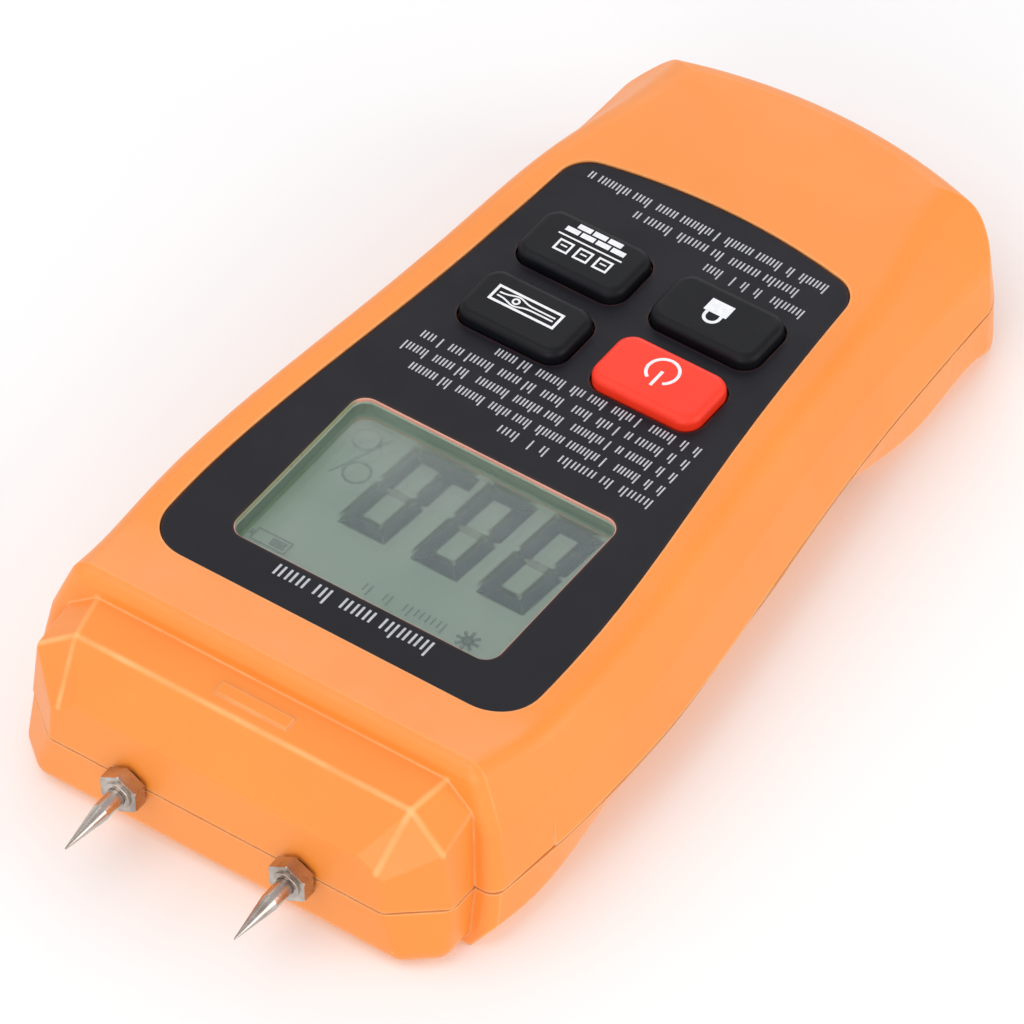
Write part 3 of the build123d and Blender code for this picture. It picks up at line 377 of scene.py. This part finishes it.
def window_rim(name):
    """Polished cut edge of the window: a painted pink reflection of the case, and a painted green edge
    light along the +X side.
    """
    n = Nodes(name)
    # Painted green edge light on the +X side, painted pink reflection of the case elsewhere
    side = n.spread(n.along("X"), 0, 1, (WINDOW["right"] - 0.5) * MM, WINDOW["right"] * MM)
    tone = n.mix(side, colour(222, 158, 138), colour(84, 132, 88))
    tone = n.mix(n.spread(n.noise(240), 0, 0.3), tone, colour(150, 120, 104))
    n.set(color=tone, roughness=n.spread(n.noise(500), 0.25, 0.4))
    n.bump(n.noise(800), 0.2, 0.01 * MM)
    return n.material


# ---------------------------------------------------------------- places from the frame

def limits(node):
    """The node's box at rest, in millimetres."""
    low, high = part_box(node)
    return low / MM, high / MM


PLATE_LOW, PLATE_HIGH = limits("face_plate")
GLASS_HIGH = limits("display_front_glass")[1]
LENS_LOW, LENS_HIGH = limits("window_lens")
LENS_OVERLAP = 2.4                  # the lens reaches this far under the plate on each side
WINDOW_CORNER = 2.4
WINDOW = {
    "left": LENS_LOW.x + LENS_OVERLAP,
    "right": LENS_HIGH.x - LENS_OVERLAP,
    "low": LENS_LOW.y + LENS_OVERLAP,
    "high": LENS_HIGH.y - LENS_OVERLAP,
}
FILM = 0.02                         # thickness of ink
CLEARANCE = 0.012                   # between a printed mark and the face it lies on


# ---------------------------------------------------------------- flat shapes, in millimetres

def bar(left, low, right, high):
    return [(left, low), (right, low), (right, high), (left, high)]


def arc(x, y, radius, start, end, steps=24):
    """Points on an arc, from one angle to another in degrees."""
    angles = [math.radians(start + (end - start) * i / steps) for i in range(steps + 1)]
    return [(x + radius * math.cos(a), y + radius * math.sin(a)) for a in angles]


def stroke(points, width):
    """Outline of a line of even width drawn through the points."""
    left, right = [], []
    for i, (x, y) in enumerate(points):
        ahead = points[min(i + 1, len(points) - 1)]
        behind = points[max(i - 1, 0)]
        run = Vector((ahead[0] - behind[0], ahead[1] - behind[1])).normalized()
        across = Vector((-run.y, run.x)) * width / 2
        left.append((x + across.x, y + across.y))
        right.append((x - across.x, y - across.y))
    return left + right[::-1]


def ring(x, y, radius, width):
    """A round ring in two halves."""
    return [stroke(arc(x, y, radius, a, a + 180), width) for a in (0, 180)]


def hollow(left, low, right, high, width):
    """A rectangle drawn in line, as four bars."""
    return [
        bar(left, low, left + width, high),
        bar(right - width, low, right, high),
        bar(left + width, low, right - width, low + width),
        bar(left + width, high - width, right - width, high),
    ]


def rounded(left, low, right, high, radius, steps=8):
    """Rectangle with round corners, counter-clockwise."""
    corners = ((right, high, 0), (left, high, 90), (left, low, 180), (right, low, 270))
    points = []
    for x, y, start in corners:
        centre_x = x - radius if x == right else x + radius
        centre_y = y - radius if y == high else y + radius
        points += arc(centre_x, centre_y, radius, start, start + 90, steps)
    return points


def grown(outline, amount):
    """A convex counter-clockwise outline moved outwards by the amount."""
    count = len(outline)
    points = []
    for i, (x, y) in enumerate(outline):
        before = Vector(outline[i - 1])
        here = Vector((x, y))
        after = Vector(outline[(i + 1) % count])
        first = (here - before).normalized()
        second = (after - here).normalized()
        outward = Vector((first.y + second.y, -first.x - second.x)).normalized()
        reach = amount / max(0.5, outward.dot(Vector((first.y, -first.x))))
        points.append((x + outward.x * reach, y + outward.y * reach))
    return points


# ---------------------------------------------------------------- making pieces

def add_piece(name, mesh, material, body):
    """Turns the mesh into a piece that rides on a body."""
    bmesh.ops.recalc_face_normals(mesh, faces=mesh.faces)
    data = bpy.data.meshes.new(name)
    mesh.to_mesh(data)
    mesh.free()
    data.materials.append(material)
    piece = bpy.data.objects.new(name, data)
    bpy.context.scene.collection.objects.link(piece)
    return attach(piece, body)


def loop_at(mesh, outline, height):
    return [mesh.verts.new((x * MM, y * MM, height * MM)) for x, y in outline]


def wall(mesh, first, second):
    """Faces between two loops of as many corners."""
    count = len(first)
    for i in range(count):
        j = (i + 1) % count
        mesh.faces.new((first[i], first[j], second[j], second[i]))


def slab(mesh, outline, low, high):
    """A flat shape with a little thickness."""
    under = loop_at(mesh, outline, low)
    top = loop_at(mesh, outline, high)
    mesh.faces.new(top)
    mesh.faces.new(under[::-1])
    wall(mesh, under, top)


def printed(name, outlines, face, material, body):
    """Ink marks that lie on a flat face at the given height."""
    mesh = bmesh.new()
    for outline in outlines:
        slab(mesh, outline, face + CLEARANCE, face + CLEARANCE + FILM)
    return add_piece(name, mesh, material, body)


# ---------------------------------------------------------------- print on the face plate

WORD_GAP = 0.8                      # share of the letter pitch between two words
LINE_WEIGHT = 0.13                  # share of a letter's height taken by one upright line
LOW_LETTER = 0.72                   # height of a small letter as a share of a capital
TITLE = (-12.8, 12.0, (8, 5))
TITLE_HEIGHT = 2.65
TITLE_RISE = 0.95                   # foot of the title above the window
ROW_HEIGHT = 1.8
UPPER_ROWS = (                      # left end, right end, letters in each word
    (-21.5, 3.3, (4, 7, 1, 1, 3)),
    (-21.5, 18.6, (1, 1, 4, 10, 6, 4, 6)),
    (-21.5, 22.1, (1, 1, 5, 6, 7, 5, 5, 4)),
    (-21.5, 20.7, (1, 1, 5, 3, 3, 3, 5, 6, 3)),
    (-21.5, 10.8, (1, 1, 4, 4, 5, 4, 5)),
)
LOWER_ROWS = (
    (-18.5, -2.2, (5, 1, 1, 1, 3)),
    (-15.7, 10.4, (9, 6, 5)),
    (-18.5, 19.5, (4, 1, 8, 9, 9)),
)
UPPER_ROW_DROP = 5.55               # foot of the first row below the window
UPPER_ROW_PITCH = 2.75
LOWER_ROW_RISE = 9.3                # foot of the first lower row above the end of the plate
LOWER_ROW_PITCH = 2.8


def greeked(left, right, low, height, words):
    """Stand-in for a line of small print: upright strokes grouped as letters and words."""
    count = sum(words) + WORD_GAP * (len(words) - 1)
    pitch = (right - left) / count
    weight = height * LINE_WEIGHT
    marks = []
    x = left
    for word, length in enumerate(words):
        for letter in range(length):
            capital = letter == 0 or (letter * 3 + word) % 7 == 2
            first_top = low + height * (1 if capital else LOW_LETTER)
            marks.append(bar(x, low, x + weight, first_top))
            if (letter * 2 + word) % 5 != 3:
                second = x + pitch * 0.46
                marks.append(bar(second, low, second + weight, low + height * LOW_LETTER))
            x += pitch
        x += pitch * WORD_GAP
    return marks


def panel_print(material):
    """The title above the window, the rows between window and keys, and those below the keys."""
    left, right, words = TITLE
    marks = greeked(left, right, WINDOW["high"] + TITLE_RISE, TITLE_HEIGHT, words)
    for i, (left, right, words) in enumerate(UPPER_ROWS):
        foot = WINDOW["low"] - UPPER_ROW_DROP - i * UPPER_ROW_PITCH
        marks += greeked(left, right, foot, ROW_HEIGHT, words)
    for i, (left, right, words) in enumerate(LOWER_ROWS):
        foot = PLATE_LOW.y + LOWER_ROW_RISE - i * LOWER_ROW_PITCH
        marks += greeked(left, right, foot, ROW_HEIGHT, words)
    printed("panel_print", marks, PLATE_HIGH.z, material, "housing")


# ---------------------------------------------------------------- symbols on the keys

LEGEND_LINE = 0.46


def power_symbol(x, y):
    """Open ring with a bar in its gap."""
    radius, reach = 2.2, 2.9
    open_ring = arc(x, y, radius, 90 + 32, 450 - 32, 40)
    return [stroke(open_ring, LEGEND_LINE), stroke([(x, y), (x, y + reach)], LEGEND_LINE)]


def plank_symbol(x, y):
    """A board with grain running round a knot."""
    half, tall, knot, grain_start, grain_step = 5.2, 1.5, 1.6, -4.4, 0.4
    marks = hollow(x - half, y - tall, x + half, y + tall, LEGEND_LINE * 0.85)
    marks += ring(x + knot, y, 0.45, 0.28)
    for side in (-1, 1):
        grain = []
        for i in range(23):
            along = grain_start + i * grain_step
            bulge = 0.58 * math.exp(-((along - knot) / 1.3) ** 2)
            grain.append((x + along, y + side * (0.3 + bulge)))
        marks.append(stroke(grain, 0.26))
    return marks


def lock_symbol(x, y):
    """A closed padlock."""
    half, top, radius = 1.75, 0.55, 1.1
    body = bar(x - half, y - half, x + half, y + top)
    legs = (x - radius, y + top), (x + radius, y + top)
    shackle = [legs[0]] + arc(x, y + radius, radius, 180, 0, 16) + [legs[1]]
    return [body, stroke(shackle, LEGEND_LINE)]


def sheet_and_bricks_symbol(x, y):
    """Sheets of paper above a line, courses of bricks below it."""
    marks = [bar(x - 5.0, y - 0.13, x + 5.0, y + 0.13)]
    for i in range(3):
        left = x - 4.4 + i * 3.1
        marks += hollow(left, y + 0.75, left + 2.3, y + 2.9, 0.32)
        marks.append(bar(left + 0.65, y + 1.6, left + 1.65, y + 1.85))
    for course, low in enumerate((y - 1.65, y - 2.8)):
        for brick in range(4 - course):
            left = x - 4.7 + course * 1.2 + brick * 2.4
            marks.append(bar(left, low, left + 2.1, low + 0.85))
    return marks


def key_symbols(material):
    """Each symbol sits a little towards the butt from the middle of its key."""
    plans = (
        ("power_key", power_symbol, 0.1, -1.0),
        ("wood_key", plank_symbol, 0.3, -0.6),
        ("hold_key", lock_symbol, 0.5, -0.6),
        ("paper_wall_key", sheet_and_bricks_symbol, -0.3, -0.9),
    )
    for key, symbol, across, along in plans:
        low, high = limits(key)
        middle = (low + high) / 2
        marks = symbol(middle.x + across, middle.y + along)
        printed(key.replace("_key", "_symbol"), marks, high.z, material, key)


# ---------------------------------------------------------------- the keypad mat

MAT_LOW, MAT_HIGH = limits("keypad_mat")
MAT_SHEET = 0.8                     # thickness of the sheet between the domes
MAT_CORNER = 2.0
DOME_FOOT = 3.6
DOME_TOP = 2.2
DOME_WALL = 0.4
DOME_SIDES = 48
DOME_GAP = 0.01                     # between a dome and the sheet below it or the key above it


def dome(key, sheet_top, material):
    """Hollow silicone dome under its key."""
    low, high = limits(key)
    x, y = (low.x + high.x) / 2, (low.y + high.y) / 2
    foot, top = sheet_top + DOME_GAP, MAT_HIGH.z
    profile = (
        (DOME_FOOT - DOME_WALL, foot),
        (DOME_FOOT, foot),
        (DOME_TOP, top - DOME_GAP),
        (DOME_TOP - DOME_WALL, top - DOME_WALL),
    )
    mesh = bmesh.new()
    loops = []
    for radius, height in profile:
        circle = arc(x, y, radius, 0, 360 - 360 / DOME_SIDES, DOME_SIDES - 1)
        loops.append(loop_at(mesh, circle, height))
    for first, second in ((0, 1), (1, 2), (3, 0)):
        wall(mesh, loops[first], loops[second])
    mesh.faces.new(loops[2])
    mesh.faces.new(loops[3])
    piece = add_piece(key.replace("_key", "_dome"), mesh, material, "housing")
    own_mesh(piece)


def keypad(material):
    """The mat's sheet, and a dome for each key, in place of the one rigid node."""
    sheet_top = MAT_LOW.z + MAT_SHEET
    mesh = bmesh.new()
    outline = rounded(MAT_LOW.x, MAT_LOW.y, MAT_HIGH.x, MAT_HIGH.y, MAT_CORNER)
    slab(mesh, outline, MAT_LOW.z, sheet_top)
    sheet = add_piece("keypad_sheet", mesh, material, "housing")
    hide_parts("keypad_mat")
    for key in ("power_key", "wood_key", "hold_key", "paper_wall_key"):
        dome(key, sheet_top, material)


# ---------------------------------------------------------------- the display

DIGIT_WIDTH = 6.85
DIGIT_HEIGHT = 15.8
DIGIT_WEIGHT = 1.35
DIGIT_RISE = 2.0                    # foot of the digits above the window's low edge
DIGIT_LEFTS = (-18.6, -8.3, 3.1)
SLANT = math.tan(math.radians(4.5))
GAP = 0.42
POINT = (0.9, 0.1, 3.0, 2.0)        # the decimal point: left, foot, right, top above the digits' foot
PERCENT = (12.4, 0.4, 6.2, 9.2)     # left, rise above the digits' foot, width, height
SUN = (-14.4, 3.75)                 # middle, drop from the window's high edge
BATTERY = (13.5, 4.85)              # left, drop
SMALL_WORD = (-10.7, 2.6, 4.65, 1.9, (4, 1, 1))    # left, right, drop, height, letters


def slanted(outline, left, low):
    """The outline leaned over and moved to its place."""
    return [(left + x + y * SLANT, low + y) for x, y in outline]


def digit_bars(left, low):
    """The six outer bars of a nought, and its unlit middle bar."""
    w, h, t, g = DIGIT_WIDTH, DIGIT_HEIGHT, DIGIT_WEIGHT, GAP
    m = h / 2
    upper_left = [(0, h - g), (0, m + t / 2), (t / 2, m + g / 2), (t, m + t / 2), (t, h - t - g)]
    lower_left = [(0, g), (t, t + g), (t, m - t / 2), (t / 2, m - g / 2), (0, m - t / 2)]
    lit = [
        [(g, h), (t + g, h - t), (w - t - g, h - t), (w - g, h)],
        [(g, 0), (w - g, 0), (w - t - g, t), (t + g, t)],
        upper_left,
        lower_left,
        [(w - x, y) for x, y in reversed(upper_left)],
        [(w - x, y) for x, y in reversed(lower_left)],
    ]
    rest = [(t / 2 + g, m), (t + g / 2, m - t / 2), (w - t - g / 2, m - t / 2),
            (w - t / 2 - g, m), (w - t - g / 2, m + t / 2), (t + g / 2, m + t / 2)]
    return [slanted(o, left, low) for o in lit], slanted(rest, left, low)


def percent_sign(left, low, width, height):
    """Two rings and a slanting line."""
    radius = height * 0.2
    marks = [stroke([(left + width * 0.22, low), (left + width * 0.82, low + height)], 0.42)]
    marks += ring(left + radius + 0.1, low + height - radius, radius, 0.42)
    marks += ring(left + width - radius - 0.1, low + radius, radius, 0.42)
    return marks


def sun_sign(x, y):
    """Disc with eight rays."""
    rays = []
    for i in range(8):
        a = math.radians(45 * i)
        rays.append(stroke([(x + r * math.cos(a), y + r * math.sin(a)) for r in (0.5, 1.7)], 0.5))
    return rays + [arc(x, y, 0.8, 0, 345, 23)]


def battery_sign(left, low):
    """Battery outline with its tip and one bar of charge."""
    return hollow(left, low, left + 5.6, low + 2.4, 0.3) + [
        bar(left + 5.6, low + 0.75, left + 6.1, low + 1.65),
        bar(left + 0.6, low + 0.55, left + 2.9, low + 1.85),
    ]


BLUR_STEPS = (0.4, 0.25, 0.1, -0.05)    # how far each stacked film is grown past the bar's outline
SHADOW_STEPS = (0.35, 0.1)
BLUR_LIFT = 0.02
BLUR_FILM = 0.008
SHADOW_SHIFT = (0.75, -0.95)
SHADOW_LIFT = 0.002                 # above the display glass
SIGN_LIFT = 0.15


def films(name, outlines, low, steps, material):
    """Stacked see-through films that shrink upwards, which blurs the edge of each shape."""
    mesh = bmesh.new()
    for level, amount in enumerate(steps):
        height = low + level * BLUR_LIFT
        for outline in outlines:
            slab(mesh, grown(outline, amount), height, height + BLUR_FILM)
    return add_piece(name, mesh, material, "housing")


def display_marks(lit, idle, shadow, signs):
    """The reading 00.0 in soft dark bars, small signs, and the bars' shadows on the reflector behind."""
    face = GLASS_HIGH.z
    foot = WINDOW["low"] + DIGIT_RISE
    top = WINDOW["high"]
    bars, resting = [], []
    for left in DIGIT_LEFTS:
        outer, middle = digit_bars(left, foot)
        bars += outer
        resting.append(middle)
    bars.append(bar(POINT[0], foot + POINT[1], POINT[2], foot + POINT[3]))
    left, rise, width, height = PERCENT
    small = percent_sign(left, foot + rise, width, height)
    small += sun_sign(SUN[0], top - SUN[1])
    small += battery_sign(BATTERY[0], top - BATTERY[1])
    left, right, drop, height, words = SMALL_WORD
    small += greeked(left, right, top - drop, height, words)
    across, along = SHADOW_SHIFT
    moved = [[(x + across, y + along) for x, y in outline] for outline in bars]
    films("display_bar_shadows", moved, face + SHADOW_LIFT, SHADOW_STEPS, shadow)
    films("display_bars", bars, face + 3 * BLUR_LIFT, BLUR_STEPS, lit)
    printed("display_idle_bars", resting, face, idle, "housing")
    printed("display_signs", small, face + SIGN_LIFT, signs, "housing")


RIM_FOOT = 0.38                     # the polished rim starts this far above the lens
RIM_BEVEL = 0.1
RIM_DROP = 0.06                     # below the face of the plate
RIM_WALL = 0.14
GASKET_WALL = 0.1
LINING_GAP = 0.02                   # between the window's cut edge and what lines it
GLASS_GAP = 0.03


def window_ring(name, width, inner_drop, low, high, material):
    """A closed ring that lines the window. Its inner wall ends a little lower than its outer one."""
    sides = (WINDOW["left"], WINDOW["low"], WINDOW["right"], WINDOW["high"])
    outer = grown(rounded(*sides, WINDOW_CORNER), -LINING_GAP)
    inner = grown(outer, -width)
    corners = ((outer, low), (outer, high), (inner, high - inner_drop), (inner, low))
    mesh = bmesh.new()
    loops = [loop_at(mesh, outline, height) for outline, height in corners]
    for i in range(4):
        wall(mesh, loops[i], loops[(i + 1) % 4])
    return add_piece(name, mesh, material, "housing")


def window_edge(material):
    """The polished cut edge round the window in the face plate."""
    low, high = LENS_HIGH.z + RIM_FOOT, PLATE_HIGH.z - RIM_DROP
    window_ring("window_edge", RIM_WALL, RIM_BEVEL, low, high, material)


def window_gasket(material):
    """Grey-green strip round the window, from the display glass up to the polished rim."""
    low, high = GLASS_HIGH.z + GLASS_GAP, LENS_HIGH.z + RIM_FOOT - 0.01
    window_ring("window_gasket", GASKET_WALL, 0.0, low, high, material)


# ---------------------------------------------------------------- finishes for the CAD nodes

def finishes():
    """One material for each material slot of the record."""
    return {
        "orange_case": case_plastic("orange_plastic"),
        "black_plate": moulded("panel_black", *PANEL_TINTS, 0.5, grain=1800, depth=0.012,
                               worn=colour(84, 50, 44), soften=0.0001, shine=0.25),
        "clear_lens": clear_plastic("window_plastic"),
        "black_internal": moulded("black_nylon", colour(26, 26, 28), colour(34, 34, 36), 0.6),
        "display_bezel": moulded("bezel_grey_green", colour(118, 134, 120), colour(110, 126, 112), 0.7),
        "display_glass": liquid_crystal("display_glass_finish"),
        "light_guide": moulded("milky_acrylic", colour(214, 226, 216), colour(200, 216, 206), 0.25,
                               depth=0.01),
        "zebra_rubber": moulded("striped_rubber", colour(150, 96, 122), colour(120, 70, 98), 0.8),
        "board_green": circuit_green("solder_mask"),
        "screw_steel": metal("zinc_plate", colour(178, 180, 186), colour(150, 152, 160), 0.32),
        "key_silicone": moulded("grey_silicone", colour(120, 122, 126), colour(106, 108, 112), 0.7),
        "chip_black": moulded("chip_epoxy", colour(30, 30, 32), colour(38, 38, 40), 0.62),
        "chip_ceramic": moulded("chip_ceramic_body", colour(150, 128, 104), colour(126, 106, 86), 0.5),
        "capacitor_can": metal("spun_aluminium", colour(196, 198, 202), colour(170, 172, 178), 0.3),
        "trimmer_blue": moulded("blue_nylon", colour(38, 88, 170), colour(30, 74, 150), 0.45),
        "pin_nickel": metal("bright_nickel", colour(205, 196, 188), colour(168, 152, 142), 0.2,
                            turned=(1, 14, 1), depth=0.02),
        "socket_brass": metal("turned_brass", colour(206, 170, 92), colour(176, 138, 66), 0.3,
                              turned=(1, 10, 1)),
        "wire_yellow": moulded("yellow_insulation", colour(226, 196, 60), colour(214, 180, 50), 0.4),
        "wire_red": moulded("red_insulation", colour(196, 34, 30), colour(180, 28, 26), 0.4),
        "wire_black": moulded("black_insulation", colour(28, 28, 30), colour(36, 36, 38), 0.4),
        "battery_jacket": battery_wrap("battery_jacket_finish"),
        "foam_grey": open_foam("grey_foam"),
        "red_key": moulded("red_silicone", colour(252, 54, 26), colour(244, 48, 22), 0.46, grain=3400,
                           depth=0.02, worn=colour(255, 122, 96), soften=0.0003, shine=0.42),
        "black_key": moulded("black_silicone", *BLACK_KEY_TINTS, 0.46, grain=3400, depth=0.02,
                             worn=colour(58, 58, 66), soften=0.0003, shine=0.2),
    }


def paint_frame():
    """Gives every CAD node the finish of its material slot."""
    made = finishes()
    for part in frame["record"]["subparts"]:
        node = frame["nodes"][part["node"]]
        for place in node.material_slots:
            place.material = made[part["material_slot"]]


# ---------------------------------------------------------------- floor, light and camera

FLOOR_HALF = 2000                   # mm
FLOOR_GAP = 0.05
HORIZON = (1.0, 1.0, 1.0, 1)
ZENITH = (0.6, 0.6, 0.61, 1)
ZENITH_START = 0.8                  # height on the unit sphere where the zenith tone starts
BACKDROP = (0.93, 0.93, 0.94, 1)    # what the camera sees behind the floor
SKY_STRENGTH = 0.95
SOFTBOXES = (                       # name, place, size, watts
    ("softbox_over", (0.25, 0.35, 0.9), 0.9, 3.2),
    ("softbox_front", (-0.3, 1.1, 0.45), 0.7, 3.4),
    ("softbox_side", (-1.1, -0.2, 0.4), 0.8, 4.2),
    ("softbox_back", (0.5, -1.0, 0.6), 0.8, 2.5),
)


def make_floor():
    """Plain pale floor, seen only from above. From below, the back of the object shows."""
    n = Nodes("floor_paper")
    n.set(color=n.mix(n.spread(n.noise(3), 0, 1), colour(250, 250, 250), colour(246, 246, 247)),
          roughness=n.spread(n.noise(40), 0.7, 0.85))
    n.bump(n.noise(900), 0.05, 0.02 * MM)
    above = n.spread(n.add("ShaderNodeNewGeometry").outputs["Backfacing"], 1, 0, 0, 1)
    n.see_through(n.times(above, n.add("ShaderNodeLightPath").outputs["Is Camera Ray"]))
    mesh = bmesh.new()
    square = bar(-FLOOR_HALF, -FLOOR_HALF, FLOOR_HALF, FLOOR_HALF)
    mesh.faces.new(loop_at(mesh, square, cad_bounds[0].z / MM - FLOOR_GAP))
    data = bpy.data.meshes.new("floor")
    mesh.to_mesh(data)
    mesh.free()
    data.materials.append(n.material)
    floor = bpy.data.objects.new("floor", data)
    bpy.context.scene.collection.objects.link(floor)


def make_world():
    """Soft pale surroundings, brighter at the horizon so that the walls are lit as well as the face."""
    world = bpy.data.worlds.new("studio")
    bpy.context.scene.world = world
    world.use_nodes = True
    tree = world.node_tree
    background = tree.nodes["Background"]
    place = tree.nodes.new("ShaderNodeTexCoord")
    parts = tree.nodes.new("ShaderNodeSeparateXYZ")
    ramp = tree.nodes.new("ShaderNodeValToRGB")
    ramp.color_ramp.elements[0].position = 0.0
    ramp.color_ramp.elements[0].color = HORIZON
    ramp.color_ramp.elements[1].position = ZENITH_START
    ramp.color_ramp.elements[1].color = ZENITH
    path = tree.nodes.new("ShaderNodeLightPath")
    choose = tree.nodes.new("ShaderNodeMix")
    choose.data_type = "RGBA"
    first, second = [i for i in choose.inputs if i.type == "RGBA"]
    result = [o for o in choose.outputs if o.type == "RGBA"][0]
    second.default_value = BACKDROP
    tree.links.new(place.outputs["Generated"], parts.inputs["Vector"])
    tree.links.new(parts.outputs["Z"], ramp.inputs["Fac"])
    tree.links.new(path.outputs["Is Camera Ray"], choose.inputs["Factor"])
    tree.links.new(ramp.outputs["Color"], first)
    tree.links.new(result, background.inputs["Color"])
    background.inputs["Strength"].default_value = SKY_STRENGTH


def make_light(name, place, size, power):
    """A square softbox aimed at the middle of the object."""
    data = bpy.data.lights.new(name, "AREA")
    data.size = size
    data.energy = power
    light = bpy.data.objects.new(name, data)
    light.location = place
    middle = (cad_bounds[0] + cad_bounds[1]) / 2
    light.rotation_mode = "QUATERNION"
    light.rotation_quaternion = (middle - light.location).to_track_quat("-Z", "Y")
    bpy.context.scene.collection.objects.link(light)


def make_camera():
    """Long lens at the viewing angle given above."""
    data = bpy.data.cameras.new("camera")
    data.lens = LENS
    data.sensor_width = SENSOR
    data.clip_start = 0.05
    data.clip_end = 20
    camera = bpy.data.objects.new("camera", data)
    turn = Matrix((VIEW_RIGHT, -VIEW_DOWN, -VIEW_FORWARD)).transposed()
    camera.matrix_world = Matrix.Translation(CAMERA_PLACE) @ turn.to_4x4()
    bpy.context.scene.collection.objects.link(camera)
    bpy.context.scene.camera = camera


paint_frame()
panel_print(ink("print_grey", colour(196, 196, 202), colour(176, 176, 184)))
key_symbols(ink("print_white", colour(244, 244, 246), colour(228, 228, 232)))
keypad(moulded("dome_silicone", colour(120, 122, 126), colour(106, 108, 112), 0.7))
display_marks(
    lit=ink("crystal_dark", colour(62, 104, 136), colour(56, 96, 128), share=0.13),
    idle=ink("crystal_idle", colour(160, 146, 132), colour(156, 142, 128), share=0.12),
    shadow=ink("crystal_shadow", colour(100, 118, 116), colour(94, 112, 110), share=0.06),
    signs=ink("crystal_fine", colour(72, 104, 114), colour(66, 96, 106), share=0.3),
)
window_edge(window_rim("window_edge_finish"))
window_gasket(moulded("gasket_grey_green", colour(162, 180, 164), colour(154, 172, 156), 0.7))
make_floor()
make_world()
for softbox in SOFTBOXES:
    make_light(*softbox)
make_camera()
bpy.context.scene.view_settings.view_transform = "Standard"
